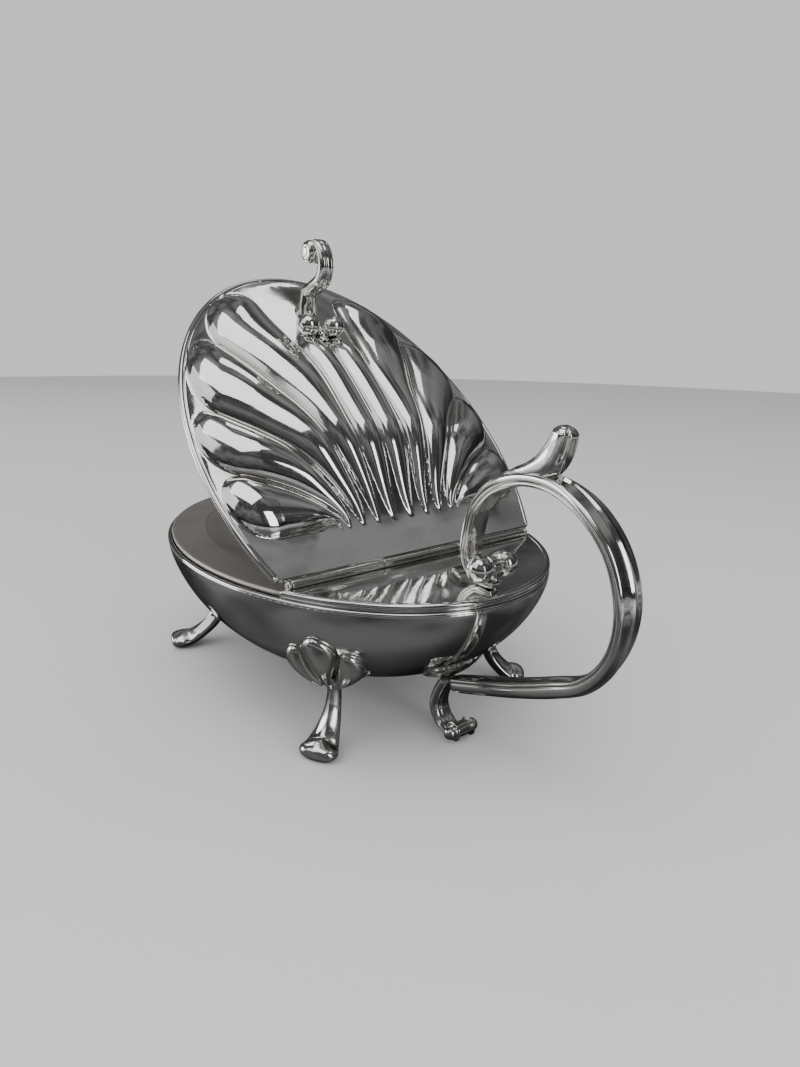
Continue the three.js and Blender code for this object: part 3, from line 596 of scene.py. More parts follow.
def build_cover(bowl):
    """The plate behind the hinge, with a soft edge and the least crown."""
    towards_hinge = 0.0004
    chord = COVER_LOW.x - towards_hinge
    inset = bowl.moulding
    last = crossing_angle(bowl, chord, inset)
    middle = Vector((between(COVER_LOW.x, COVER_HIGH.x, 0.45), 0, 0))
    arc_share, face_share, flat_share = 0.7, 0.8, 0.94
    edge_fall = 0.0003

    def outline(around):
        if around <= arc_share:
            return oval_point(bowl, between(-last, last, around / arc_share), inset, 0)
        corner = oval_point(bowl, last, inset, 0).y
        return Vector((chord, between(corner, -corner, (around - arc_share) / (1 - arc_share)), 0))

    def place(across, along):
        upper = along <= face_share
        part = along / face_share if upper else (1 - along) / (1 - face_share)
        edge = outline(across)
        point = middle.lerp(edge, math.sin(part * math.pi / 2))
        soft = edge_fall * smooth((part - flat_share) / (1 - flat_share))
        crown = bowl.cover_crown * (1 - math.sin(part * math.pi / 2) ** 2)
        point.z = COVER_HIGH.z + crown - soft if upper else COVER_LOW.z
        return point

    return wrapped_grid("rear_cover_plate", 180, 90, place)


def barrel(name, low, high, radius):
    """A hinge barrel across the dish with eased ends and a bore for the pin."""
    ease, bore = radius * 0.12, radius * 0.8
    side = [
        (bore, low + ease),
        (radius * 0.84, low),
        (radius * 0.91, low),
        (radius * 0.98, low + ease * 0.5),
        (radius, low + ease * 1.6),
        (radius, between(low, high, 0.3)),
    ]
    inside = [(bore, between(low, high, 0.7)), (bore, between(low, high, 0.3)), (bore, low + ease)]
    profile = mirrored(side, (low + high) / 2) + inside
    return turned_body(name, profile, at_hinge, steps=140, sides=40)


def pin(name, low, high, radius):
    """The rod through the barrels, with a low head at each end."""
    head, rod, deep = radius * 0.96, radius * 0.7, 0.001
    side = [
        (0.0, low),
        (head * 0.6, low),
        (head * 0.9, low + deep * 0.12),
        (head, low + deep * 0.4),
        (head, low + deep * 0.8),
        (head * 0.9, low + deep),
        (rod, low + deep),
        (rod, low + deep * 1.2),
        (rod, between(low, high, 0.3)),
    ]
    return turned_body(name, mirrored(side, (low + high) / 2), at_hinge, steps=140, sides=40)


def at_hinge(out, across, up):
    return Vector((HINGE.x + out, across, HINGE.z + up))


# The lid, in its own closed place: x towards the hinge from the mouth, z up from the hinge line


def lid_stand(lid, x, y, z):
    """Turns a place on the closed lid to where it is at rest."""
    cos, sin = math.cos(lid.opening), math.sin(lid.opening)
    return Vector((HINGE.x + x * cos + z * sin, y, HINGE.z - x * sin + z * cos))


def lid_oval(settings):
    """Half length and half width of the shell's edge, which lies in the wire."""
    bowl, lid = settings.bowl, settings.lid
    sunk_in_wire = 0.8
    inset = lid.wire_inset + lid.wire * sunk_in_wire
    return bowl.length / 2 - inset, bowl.width / 2 - inset


def lid_root(lid):
    return -lid.barrel / 2


def dome_height(settings, x, y):
    lid = settings.lid
    length, width = lid_oval(settings)
    offset = HINGE.x - OVAL_MIDDLE
    reach = math.hypot((x + offset) / length, y / width)
    crown = max(0, 1 - reach**lid.roundness)
    # The dome eases flat to its edge, and beside the thumbpiece it falls away to the flutes
    crown *= (1 + lid.edge_ease) * crown / (crown + lid.edge_ease)
    ahead = math.exp(-(((-x - lid.fall_place) / lid.fall_length) ** 2))
    beside = y * y / (y * y + lid.fall_width**2)
    crown -= lid.fall * ahead * beside * max(0, 1 - reach**4)
    # The hand-raised metal is never quite even, except by the hinge
    broad_wave = 0.00016 * math.sin(190 * x + 0.7) * math.cos(150 * y)
    fine_wave = 0.0001 * math.sin(310 * y + 120 * x)
    level_by_hinge = 0.012
    uneven = (broad_wave + fine_wave) * smooth(-x / level_by_hinge)
    return lid.dome * crown * smooth((-x - lid.dome_start) / lid.dome_rise) + uneven


def fan_place(lid, angle, reach):
    """A place on the fan: its lines leave the row by the hinge square to it and bend outwards."""
    return (
        -lid.fan_start - lid.fan_width * reach * math.cos(angle),
        lid.fan_width * math.hypot(1, reach) * math.sin(angle),
    )


@functools.lru_cache(maxsize=None)
def fan_reach_of(length, width, start, half, offset, angle):
    """Halves the span between a reach inside the oval and one outside until they meet."""
    low, high, halvings = 0.0, 8.0, 42
    for _ in range(halvings):
        reach = (low + high) / 2
        x = -start - half * reach * math.cos(angle)
        y = half * math.hypot(1, reach) * math.sin(angle)
        if math.hypot((x + offset) / length, y / width) < 1:
            low = reach
        else:
            high = reach
    return low


def fan_reach(settings, angle):
    """How far a line of the fan runs before it meets the shell's edge."""
    lid = settings.lid
    length, width = lid_oval(settings)
    return fan_reach_of(length, width, lid.fan_start, lid.fan_width, HINGE.x - OVAL_MIDDLE, angle)


def flute_bounds(lid, part):
    """Where the flutes begin and end across the fan, in degrees, at a share of the way to its border."""
    gather = smooth((part - lid.gather_start) / lid.gather_length)
    widths = [between(root, tip, gather) for root, tip in zip(lid.flute_root_turns, lid.flute_tip_turns)]
    passed, side = 0.0, []
    for width in widths:
        side.append(-90 * (1 - passed / sum(widths)))
        passed += width
    return [*side, 0.0, *[-turned for turned in reversed(side)]]


def fan_turn(lid, place, part):
    """The turn at a place counted in flutes; the fan's lines lie closer together in the valleys."""
    bounds = flute_bounds(lid, part)
    whole = min(len(bounds) - 2, math.floor(place + 1e-6))
    within = (1 - math.cos(math.pi * min(1, max(0, place - whole)))) / 2
    return math.radians(between(bounds[whole], bounds[whole + 1], within))


def flute_swell(settings, angle, part):
    """The swell of a flute from 0 to 1, round in section and at both ends."""
    lid = settings.lid
    bounds = flute_bounds(lid, part)
    last = len(bounds) - 2
    flute = min(last, max(0, bisect.bisect_right(bounds, math.degrees(angle)) - 1))
    across = 2 * (math.degrees(angle) - bounds[flute]) / (bounds[flute + 1] - bounds[flute]) - 1
    length = fan_reach(settings, angle) * lid.fan_width
    is_inner = abs(flute - last / 2) < 1
    tip = (lid.middle_end - lid.fan_start) / length if is_inner else 1 - lid.border / length
    outer = max(0, 1 + (part - tip) * length / lid.nose)
    inner = max(0, 1 - part / lid.flute_rise)
    row_cut, row_level = 0.96, 0.5
    left = 1 - across * across - outer * outer - row_cut * inner * inner
    level = between(row_level, 1, min(1, part / lid.flute_full)) * (lid.inner_level if is_inner else 1)
    return level * max(0, left) ** lid.flute_fullness


def lid_point(settings, place, part):
    lid = settings.lid
    angle = fan_turn(lid, place, part)
    x, y = fan_place(lid, angle, part * fan_reach(settings, angle))
    swell = lid.flute_depth * flute_swell(settings, angle, part)
    return x, y, lid.wall / 2 + dome_height(settings, x, y) + swell


def lid_height(settings, x, y):
    """Height of the lid's outer face over any place of the fan."""
    lid = settings.lid
    ahead = (-x - lid.fan_start) / lid.fan_width
    aside = y / lid.fan_width
    excess = ahead * ahead + aside * aside - 1
    reach = math.sqrt((excess + math.hypot(excess, 2 * ahead)) / 2)
    angle = math.atan2(aside / math.hypot(1, reach), ahead / reach)
    swell = lid.flute_depth * flute_swell(settings, angle, reach / fan_reach(settings, angle))
    return lid.wall / 2 + dome_height(settings, x, y) + swell


def build_lid_shell(settings):
    lid = settings.lid
    per_flute, rows = 24, 120
    flutes = 2 * len(lid.flute_root_turns)
    columns = flutes * per_flute

    def fan(across, along):
        return lid_stand(lid, *lid_point(settings, across * flutes, along))

    def valley(across, along):
        place = across * flutes
        edge = abs(2 * (place - math.floor(place)) - 1)
        return smooth((edge - 0.55) / 0.45) * smooth(along / 0.1) * (1 - smooth((along - 0.8) / 0.2))

    shell = wrapped_grid("fluted_lid_shell", columns, rows, fan, valley)

    # The plain plate takes up the fan's points along the row, and runs to the hinge
    length, width = lid_oval(settings)
    root = lid_root(lid)
    root_width = width * math.sqrt(1 - ((root + HINGE.x - OVAL_MIDDLE) / length) ** 2)
    total = columns + 2 * rows

    def seam_point(across):
        step = round(across * total)
        if step <= rows:
            return lid_point(settings, 0, 1 - step / rows)
        if step <= rows + columns:
            return lid_point(settings, (step - rows) / per_flute, 0)
        return lid_point(settings, flutes, (step - rows - columns) / rows)

    edge_width = abs(seam_point(0)[1])

    def plate(across, along):
        x, y, z = seam_point(across)
        if along == 0:
            return lid_stand(lid, x, y, z)
        x = between(x, root, along)
        y *= between(1, root_width / edge_width, along)
        return lid_stand(lid, x, y, lid.wall / 2 + dome_height(settings, x, y))

    root_plate = wrapped_grid("lid_root_plate", total, 16, plate)
    pick(shell, root_plate)
    bpy.ops.object.join()
    weld(shell)
    if upward_share(shell, lid) < 0.5:
        bpy.ops.object.mode_set(mode="EDIT")
        bpy.ops.mesh.select_all(action="SELECT")
        bpy.ops.mesh.flip_normals()
        bpy.ops.object.mode_set(mode="OBJECT")
    wall = shell.modifiers.new("Wall", "SOLIDIFY")
    wall.thickness = lid.wall
    wall.offset = -1
    bpy.ops.object.modifier_apply(modifier=wall.name)
    return shell


def upward_share(shell, lid):
    """The share of the shell's faces that look up and out from the closed lid."""
    outward = Vector((math.sin(lid.opening), 0, math.cos(lid.opening)))
    faces = shell.data.polygons
    return sum(1 for face in faces if face.normal.dot(outward) > 0) / len(faces)


def build_lid_wire(settings):
    bowl, lid = settings.bowl, settings.lid
    radius = lid.wire / 2
    inset = lid.wire_inset + radius
    first = crossing_angle(bowl, HINGE.x + lid_root(lid) - SOLDER_GAP, inset)
    height = HINGE.z - radius + lid.wall / 2
    section = round_section(radius)
    end = 0.004

    def place(around, along):
        out, up = section(FULL_TURN * around)
        close = rounded_end(along, end, end)
        angle = between(first, FULL_TURN - first, along)
        point = wire_point(bowl, angle, inset, height, out * close, up * close)
        return lid_stand(lid, point.x - HINGE.x, point.y, point.z - HINGE.z)

    return wrapped_grid("lid_edge_wire", 24, 300, place)


# The thumbpiece


def leaf_shape(thumb):
    """The leaf from its front tip past the bosses to its rear tip: shares of its length, half its
    width, and how far its middle stands above the lid."""
    gap = (thumb.spacing - thumb.boss) / 2
    return smooth_line(
        [
            (0.0, 0.0007, 0.0008), (0.05, 0.0015, 0.0022), (0.12, 0.0019, 0.0026),
            (0.24, gap * 1.2, 0.0026), (0.4, gap, 0.0022), (0.54, gap * 1.4, 0.0024),
            (0.7, 0.0036, 0.0022), (0.86, 0.0026, 0.0014), (1.0, 0.0001, 0.0004),
        ]
    )


def build_finial_leaf(settings):
    thumb, lid = settings.thumbpiece, settings.lid
    shape = leaf_shape(thumb)
    sunk, midrib, vein = 0.0002, 0.0004, 0.00012

    def place(across, along):
        upper = along <= 0.5
        share_out, half, rise = shape(across)
        x = between(thumb.leaf_start, thumb.leaf_end, share_out)
        side = 4 * along - 1 if upper else 3 - 4 * along
        y = side * max(0.0001, half)
        rest = lid_height(settings, -x, y) - sunk
        if not upper or abs(side) > ON_EDGE:
            return lid_stand(lid, -x, y, rest)
        # A crisp turned edge, a midrib, and veins that lean back from it
        level = lid_height(settings, -x, 0) - 2 * sunk
        lift = rise * (1 - 0.55 * abs(side) ** 3) * min(1, 9 * (1 - abs(side)))
        veined = smooth((share_out - 0.55) / 0.1)
        lift += midrib * max(0, 1 - 4 * abs(side)) * veined
        lift += vein * math.cos(11 * abs(side) - 40 * share_out) * veined
        return lid_stand(lid, -x, y, max(rest, level + lift) + sunk)

    def hollow(across, along):
        side = 4 * along - 1 if along <= 0.5 else 1
        return 0.5 * smooth((abs(side) - 0.7) / 0.3)

    return wrapped_grid("finial_leaf_plate", 130, 80, place, hollow)


def build_boss(settings, side):
    thumb, lid = settings.thumbpiece, settings.lid
    radius = thumb.boss / 2
    y = side * thumb.spacing / 2
    z = lid_height(settings, -thumb.place, y) + radius * thumb.seat
    steps = 12
    turns = [math.pi * step / steps for step in range(steps + 1)]
    profile = [(radius * math.sin(turned), -radius * math.cos(turned)) for turned in turns]

    def stand(out, across, up):
        return lid_stand(lid, -thumb.place + out, y + across, z + up)

    name = "finial_ball_left" if side < 0 else "finial_ball_right"
    return turned_body(name, profile, stand, steps=60, sides=48)


def stem_foot(settings):
    thumb = settings.thumbpiece
    foot = thumb.place + thumb.stem_place
    return foot, lid_height(settings, -foot, 0) + thumb.stem_lift


def build_stem(settings):
    thumb, lid = settings.thumbpiece, settings.lid
    foot, base = stem_foot(settings)
    w, t = thumb.stem_width, thumb.stem_depth
    rise = [
        (-0.5, -0.12, w * 1.35, t * 1.15),
        (0.1, 0.04, w * 1.2, t),
        (0.7, 0.2, w, t * 0.95),
        (0.03, 0.43, w * 1.12, t * 0.95),
        (-0.5, 0.66, w * 1.08, t * 0.95),
        (-0.03, 0.87, w * 1.02, t * 0.85),
        (1.31, 1, w * 1.05, t * 0.6),
    ]
    places = stretched(rise, -foot, base, -thumb.bow, thumb.rise)
    curl_x, curl_z = curl_place(settings)
    past_curl = 0.0003
    places.append((curl_x - past_curl, curl_z + thumb.curl / 2 + t * 0.15, w * 1.1, t * 0.34))

    def parted(side, along):
        """The hollow at the stem's foot, round which it parts into two legs."""
        return (1 - smooth((along - 0.1) / 0.12)) * math.exp(-((side / 0.3) ** 2))

    def section(angle, along):
        side, lift = soft_corners(angle)
        reed = 1 - thumb.reed * reed_groove(side)
        return side, lift * (reed - 0.75 * parted(side, along))

    def hollow(around, along):
        side = soft_corners(FULL_TURN * around)[0]
        return max(parted(side, along), smooth((reed_groove(side) - 0.4) / 0.6))

    def stand(out, side, up):
        return lid_stand(lid, out, side, up)

    return swept_bar("finial_scroll_stem", places, section, stand, 180, 64, (0.04, 0.03), hollow)


def curl_place(settings):
    """The middle of the roll that the stem's end curls round."""
    ahead, below = 0.0081, 0.0044
    foot, base = stem_foot(settings)
    return -(foot + ahead), base + settings.thumbpiece.rise - below


def roll_profile(radius, length, ball):
    """A bar with a ball in a thin collar at each end; ball is its share of the radius."""
    end, size = -length / 2, radius * ball
    ball_side = [(0.0, 0.0), (0.5, 0.14), (0.87, 0.5), (1.0, 1.0), (0.95, 1.3), (0.9, 1.42)]
    collar = [(0.97, 1.48), (1.04, 1.56), (0.97, 1.66), (0.72, 1.74), (0.76, 1.9)]
    side = [(size * out, end + size * way_in) for out, way_in in ball_side]
    side += [(radius * out, end + size * way_in) for out, way_in in collar]
    return mirrored([*side, (radius * 0.8, 0.0)])


def build_curl(settings):
    thumb, lid = settings.thumbpiece, settings.lid
    curl_x, curl_z = curl_place(settings)

    def stand(out, across, up):
        return lid_stand(lid, curl_x + out, across, curl_z + up)

    radius, end = thumb.curl / 2, -thumb.curl_length / 2
    # A small boss in the middle of each end face, and a round edge
    face = [(0.0, 0.0), (0.3, 0.01), (0.42, 0.07), (0.52, 0.04), (0.8, 0.12), (0.95, 0.3)]
    waist = [(1.0, 0.58), (0.93, 0.82)]
    side = [(radius * out, end + radius * way_in) for out, way_in in face + waist]
    side.append((radius * 0.88, 0.0))
    return turned_body("finial_curl_roll", mirrored(side), stand, 120, 60)


# The handle


def handle_stand(out, side, up):
    return Vector((OVAL_MIDDLE + out, side, up))


def handle_places(settings):
    """Where the handle's pieces stand: distances from the oval's middle, and heights."""
    bowl, handle = settings.bowl, settings.handle
    half, cover_top = bowl.length / 2, COVER_HIGH.z
    foot = cover_top + SOLDER_GAP + handle.thickness / 2
    roll = (half - handle.roll_inset, foot + handle.thickness / 2 + SOLDER_GAP + handle.roll / 2)
    # The upper roll is drawn a little further in and lower than its place on the strap
    roll_in, roll_down = 0.0005, 0.0006
    leaf, room_for_leaf = half - handle.leaf_inset, 0.002875
    arm = belly_height(bowl, leaf / half) - room_for_leaf - handle.arm_swell * handle.thickness / 2
    front, crown_share, tail_out = half - handle.inset, 0.514, 0.0043
    return {
        "cover": cover_top,
        "foot": foot,
        "roll": roll,
        "upper": (roll[0] - roll_in, roll[1] - roll_down),
        "arm": (leaf, arm),
        "front": front,
        "tail": (leaf + tail_out, handle.tail / 2 + SOLDER_GAP),
        "crown": (front + crown_share * handle.loop_width, cover_top + handle.loop_rise),
    }


def build_strap(settings):
    handle = settings.handle
    at = handle_places(settings)
    w, t = handle.width, handle.thickness
    wide = w + handle.swell
    radius = handle.roll / 2
    front, heavy = t * handle.front_swell, t * handle.arm_swell
    foot = [
        (0.5, 0.0, w * 0.8, t * 0.8),
        (-0.3, 0, w * 0.9, t),
        (-1.5, 0.16, w, t * 1.1),
        (-2.75, 1.7, w * 1.05, t * 1.35),
    ]
    above = [
        (0, 0.455, w * 1.12, front),
        (0.044, 0.68, w * 1.12, front),
        (0.157, 0.871, w * 1.12, front),
        (0.344, 0.993, w * 1.12, front),
        (0.551, 1, w * 1.15, front),
        (0.748, 0.881, wide, t * 1.4),
        (0.91, 0.64, wide, t * 1.25),
        (0.994, 0.333, wide, t * 1.2),
        (1, 0.053, wide * 0.95, t * 1.1),
    ]
    below = [
        (0.941, 0.798, w * 1.15, t * 1.3),
        (0.818, 0.59, w * 1.1, t * 1.6),
        (0.635, 0.445, w * 1.1, heavy),
        (0.384, 0.278, w * 1.05, heavy),
        (0.149, 0.143, w, heavy),
    ]
    arm_x, arm_z = at["arm"]
    foot_sunk = 0.0004
    places = stretched(foot, at["roll"][0], at["foot"] - foot_sunk, radius, radius)
    places += stretched(above, at["front"], at["cover"], handle.loop_width, handle.loop_rise)
    places += stretched(below, at["front"], arm_z, handle.loop_width, at["cover"] - arm_z)
    places.append((arm_x, arm_z, w * 0.9, heavy))

    # A crest between two broad falls on the outer face, and a bead along each inner edge
    section = outline_section(
        [
            (0, 1.12), (0.07, 1.05), (0.3, 0.84), (0.58, 0.74), (0.82, 0.64), (0.93, 0.5),
            (0.985, 0.3), (1.0, 0.05), (0.985, -0.2), (0.93, -0.36), (0.97, -0.48),
            (0.96, -0.66), (0.87, -0.82), (0.6, -0.9), (0.3, -0.95), (0, -0.96),
        ]
    )
    # The groove beside that bead, and the inner face, gather tarnish
    groove_level, groove_width, inner_level, inner_share = -0.36, 0.12, -0.8, 0.2

    def hollow(around, along):
        side, lift = section(FULL_TURN * around, along)
        in_groove = max(0, 1 - abs(lift - groove_level) / groove_width) if abs(side) > 0.85 else 0
        return min(1, in_groove + (inner_share if lift < inner_level else 0))

    return swept_bar("loop_handle_strap", places, section, handle_stand, 420, 96, (0.012, 0.012), hollow)


def build_thumb_rest(settings):
    handle = settings.handle
    at = handle_places(settings)
    w, lean, height = handle.width, handle.spur_lean, handle.spur_height
    crown_x, crown_z = at["crown"]
    base = crown_z + handle.front_swell * handle.thickness / 2
    shape = [
        (-5.0, -0.42, w * 0.6, 0.0014),
        (-3.4, -0.16, w * 0.95, 0.0028),
        (-1.7, 0.0, w * 1.08, 0.0048),
        (-0.35, 0.2, w * 1.12, 0.0068),
        (0.36, 0.47, w * 1.06, 0.0068),
        (0.76, 0.76, w * 1.04, 0.0058),
        (1.0, 1.04, w * 0.94, 0.0052),
    ]
    places = stretched(shape, crown_x, base, lean, height)
    crease_turn, crease_width, crease_depth = 0.8, 0.16, 0.34

    def crease(angle, along):
        """How deep the bud's two creases are, which part its outer lobe from its flanks."""
        from_back = abs((angle % FULL_TURN) - 1.5 * math.pi)
        apart = (from_back - crease_turn) / crease_width
        return smooth((along - 0.6) / 0.12) * math.exp(-(apart**2))

    def section(angle, along):
        side, lift = soft_corners(angle)
        close = 1 - crease_depth * crease(angle, along)
        return side * close, lift * close

    def hollow(around, along):
        return 0.8 * crease(FULL_TURN * around, along)

    return swept_bar("thumb_rest_spur", places, section, handle_stand, 180, 64, (0.03, 0.1), hollow)


def build_roll(name, place, radius, length, ball):
    """A roll across the handle, whose bar has seven grooves between its collars."""

    def stand(out, across, up):
        return handle_stand(place[0] + out, across, place[1] + up)

    profile = roll_profile(radius, length, ball)
    return turned_body(name, profile, stand, 160, 96, groove=0.2, count=7, body=(0.36, 0.64))


def build_tail(settings):
    handle = settings.handle
    at = handle_places(settings)
    t, width = handle.thickness * 1.3, handle.tail_width
    arm_x, arm_z = at["arm"]
    roll_x = at["tail"][0]
    drop = [
        (0.6, 0.87, width * 0.9, t),
        (0.87, 0.647, width * 0.94, t),
        (0.96, 0.443, width, t),
        (0.76, 0.26, width, t * 0.9),
        (0.3, 0.125, width, t * 0.66),
    ]
    places = [
        (arm_x - t * 0.3, arm_z + t * 0.45, width * 0.9, t * 0.9),
        *stretched(drop, arm_x, 0, -handle.tail_bow, arm_z),
        (roll_x - 0.0024, 0.0011, width * 0.96, t * 0.44),
        (roll_x - 0.0002, 0.0006, width * 0.8, t * 0.22),
    ]
    reed_depth = 0.14

    def section(angle, along):
        side, lift = soft_corners(angle, 0.75, 0.8)
        return side, lift * (1 - reed_depth * reed_groove(side))

    return swept_bar("tail_scroll_strap", places, section, handle_stand, 140, 48, (0.05, 0.06))


def build_leaf(settings):
    bowl, handle = settings.bowl, settings.handle
    middle = OVAL_MIDDLE + handle_places(settings)["arm"][0]
    lobe_turns, lobe_depth = 7 * math.pi, 0.13
    rib, vein, thinnest = 0.0004, 0.0004, 0.0002

    def place(across, along):
        upper = along <= 0.5
        way = 2 * across - 1
        side = 4 * along - 1 if upper else 3 - 4 * along
        lobes = 1 + lobe_depth * math.cos(way * lobe_turns) * (1 - abs(way))
        half = handle.leaf_width / 2 * math.sqrt(max(0, 1 - abs(way) ** 1.6)) * lobes
        x, y = middle + side * half, way * handle.leaf_length / 2
        if not upper or max(abs(side), abs(way)) > ON_EDGE:
            return belly_point(bowl, x, y)
        swell = handle.leaf_thickness * (1 - 0.75 * side * side) * (1 - 0.8 * way * way)
        swell += rib * (1 - abs(side)) ** 4
        swell += vein * math.cos(16 * abs(way) - 5 * abs(side)) * abs(side) * (1 - side * side)
        return belly_point(bowl, x, y, max(thinnest, swell))

    def hollow(across, along):
        return 0.6 if along <= 0.5 else 0

    return wrapped_grid("handle_clasp_leaf", 120, 60, place, hollow)


# The feet


def foot_station(settings, side_x, side_y):
    """Where a foot joins the bowl, and the two level directions it is drawn along."""
    bowl, feet = settings.bowl, settings.feet
    if side_x < 0:
        angle, splay, reach = feet.front_angle, feet.front_splay, feet.front_reach
    else:
        angle, splay, reach = feet.rear_angle, feet.rear_splay, feet.rear_reach
    x = OVAL_MIDDLE + side_x * bowl.length / 2 * feet.level * math.cos(angle)
    y = side_y * bowl.width / 2 * feet.level * math.sin(angle)
    outward = Vector((side_x * math.cos(splay), side_y * math.sin(splay), 0))
    aside = Vector((-outward.y, outward.x, 0))
    return x, y, outward, aside, reach


def build_knee(settings, side_x, side_y, name):
    """Three full lobes that converge on the leg, between two pointed side leaves."""
    bowl, feet = settings.bowl, settings.feet
    x, y, outward, aside, _ = foot_station(settings, side_x, side_y)
    widths = (0.46, 1.0, 1.1, 1.0, 0.46)
    side_leaves = (0, len(widths) - 1)
    spread, total = feet.shell_spread, sum(widths)
    sunk, flattened, overlap, at_edge = 0.0002, 0.8, 0.26 * side_x * side_y, 1e-4

    def lobe(across):
        """Which lobe a line of the fan lies on, and how far across it, from -1 to 1."""
        place = across * total
        for index, width in enumerate(widths):
            if place <= width or index == side_leaves[1]:
                return index, 2 * min(1, place / width) - 1
            place -= width

    def reach_of(across):
        index, over = lobe(across)
        angle = between(-spread, spread, across)
        if index in side_leaves:
            reach = 0.86 * (0.72 + 0.28 * (1 - abs(over)))
        else:
            reach = 0.8 + 0.2 * math.sqrt(max(0, 1 - over * over))
        return feet.shell * reach * (1 - 0.1 * abs(angle))

    def place(across, along):
        upper = along <= 0.5
        part = 2 * along if upper else 2 - 2 * along
        angle = between(-spread, spread, across)
        index, over = lobe(across)
        reach = reach_of(across) * part
        px = x + outward.x * reach * math.cos(angle) * flattened + aside.x * reach * math.sin(angle)
        py = y + outward.y * reach * math.cos(angle) * flattened + aside.y * reach * math.sin(angle)
        if not upper or min(part, across) < at_edge or max(part, across) > 1 - at_edge:
            return belly_point(bowl, px, py, -sunk)
        dome = math.sqrt(max(0, 1 - part**2.3)) * math.sqrt(min(1, part / 0.2))
        round_over = math.sqrt(max(0, 1 - over * over))
        level = 0.42 * round_over if index in side_leaves else between(0.22, 1, round_over)
        # Each lobe's one edge lies over its neighbour
        swell = feet.shell_swell * dome * level * (1 - overlap * over)
        return belly_point(bowl, px, py, swell)

    def hollow(across, along):
        if along > 0.5:
            return 0
        return smooth((abs(lobe(across)[1]) - 0.7) / 0.3)

    return wrapped_grid(name, 150, 72, place, hollow)


def build_leg(settings, side_x, side_y, name):
    bowl, feet = settings.bowl, settings.feet
    x, y, outward, aside, reach = foot_station(settings, side_x, side_y)
    top = belly_point(bowl, x, y, feet.shell_swell * 0.3).z
    neck, width, height = feet.neck, feet.pad_width, feet.pad_height
    shape = [
        (0.06, top + 0.0012, neck * 2.6, neck * 1.9),
        (0.04, top * 0.93, neck * 1.7, neck * 1.4),
        (0.03, top * 0.82, neck * 1.25, neck * 1.2),
        (0.06, top * 0.64, neck * 1.3, neck * 1.25),
        (0.16, top * 0.46, neck * 1.6, neck * 1.35),
        (0.34, top * 0.3, neck * 2.1, neck * 1.4),
        (0.6, height * 0.56, width * 0.86, height * 0.92),
        (0.79, height * 0.44, width, height),
        (0.94, height * 0.38, width * 0.8, height * 0.8),
        (1.0, height * 0.33, width * 0.5, height * 0.5),
    ]
    places = stretched(shape, 0, 0, reach, 1)
    ridge, ridge_share = 1.22, 0.62

    def section(angle, along):
        side, lift = math.cos(angle), math.sin(angle)
        # A ridge runs down the leg between two flatter faces, on to the pad
        if lift > 0:
            roof = ridge * (1 - abs(side)) ** 0.9
            lift = between(lift, roof, ridge_share * (1 - smooth((along - 0.7) / 0.2)))
        return side, lift

    def stand(out, side, up):
        spot = outward * out + aside * side
        return Vector((x + spot.x, y + spot.y, max(0, up)))

    return swept_bar(name, places, section, stand, 150, 44, (0.02, 0.09))


# Finishes


def shader_group(name, inputs, outputs):
    """An empty node group with named sockets; returns it with its two ends."""
    group = bpy.data.node_groups.new(name, "ShaderNodeTree")
    for socket, kind, default in inputs:
        made = group.interface.new_socket(name=socket, in_out="INPUT", socket_type=kind)
        if default is not None:
            made.default_value = default
    for socket, kind in outputs:
        group.interface.new_socket(name=socket, in_out="OUTPUT", socket_type=kind)
    return group, group.nodes.new("NodeGroupInput"), group.nodes.new("NodeGroupOutput")


def arithmetic(tree, operation, first, second=None, third=None):
    """A math node; each operand is a number or an output."""
    node = tree.nodes.new("ShaderNodeMath")
    node.operation = operation
    for index, operand in enumerate((first, second, third)):
        if operand is None:
            continue
        if isinstance(operand, (int, float)):
            node.inputs[index].default_value = operand
        else:
            tree.links.new(operand, node.inputs[index])
    return node.outputs[0]


def ramp(tree, value, low, high, to_low=0.0, to_high=1.0):
    """Spreads a value from one range smoothly over another."""
    node = tree.nodes.new("ShaderNodeMapRange")
    node.interpolation_type = "SMOOTHSTEP"
    ranges = {"From Min": low, "From Max": high, "To Min": to_low, "To Max": to_high}
    for socket, limit in ranges.items():
        node.inputs[socket].default_value = limit
    tree.links.new(value, node.inputs["Value"])
    return node.outputs["Result"]


def noise(tree, place, scale, detail=3.0, rough=0.5, distortion=0.0):
    node = tree.nodes.new("ShaderNodeTexNoise")
    node.inputs["Detail"].default_value = detail
    node.inputs["Roughness"].default_value = rough
    node.inputs["Distortion"].default_value = distortion
    tree.links.new(place, node.inputs["Vector"])
    if isinstance(scale, (int, float)):
        node.inputs["Scale"].default_value = scale
    else:
        tree.links.new(scale, node.inputs["Scale"])
    return node.outputs["Fac"]


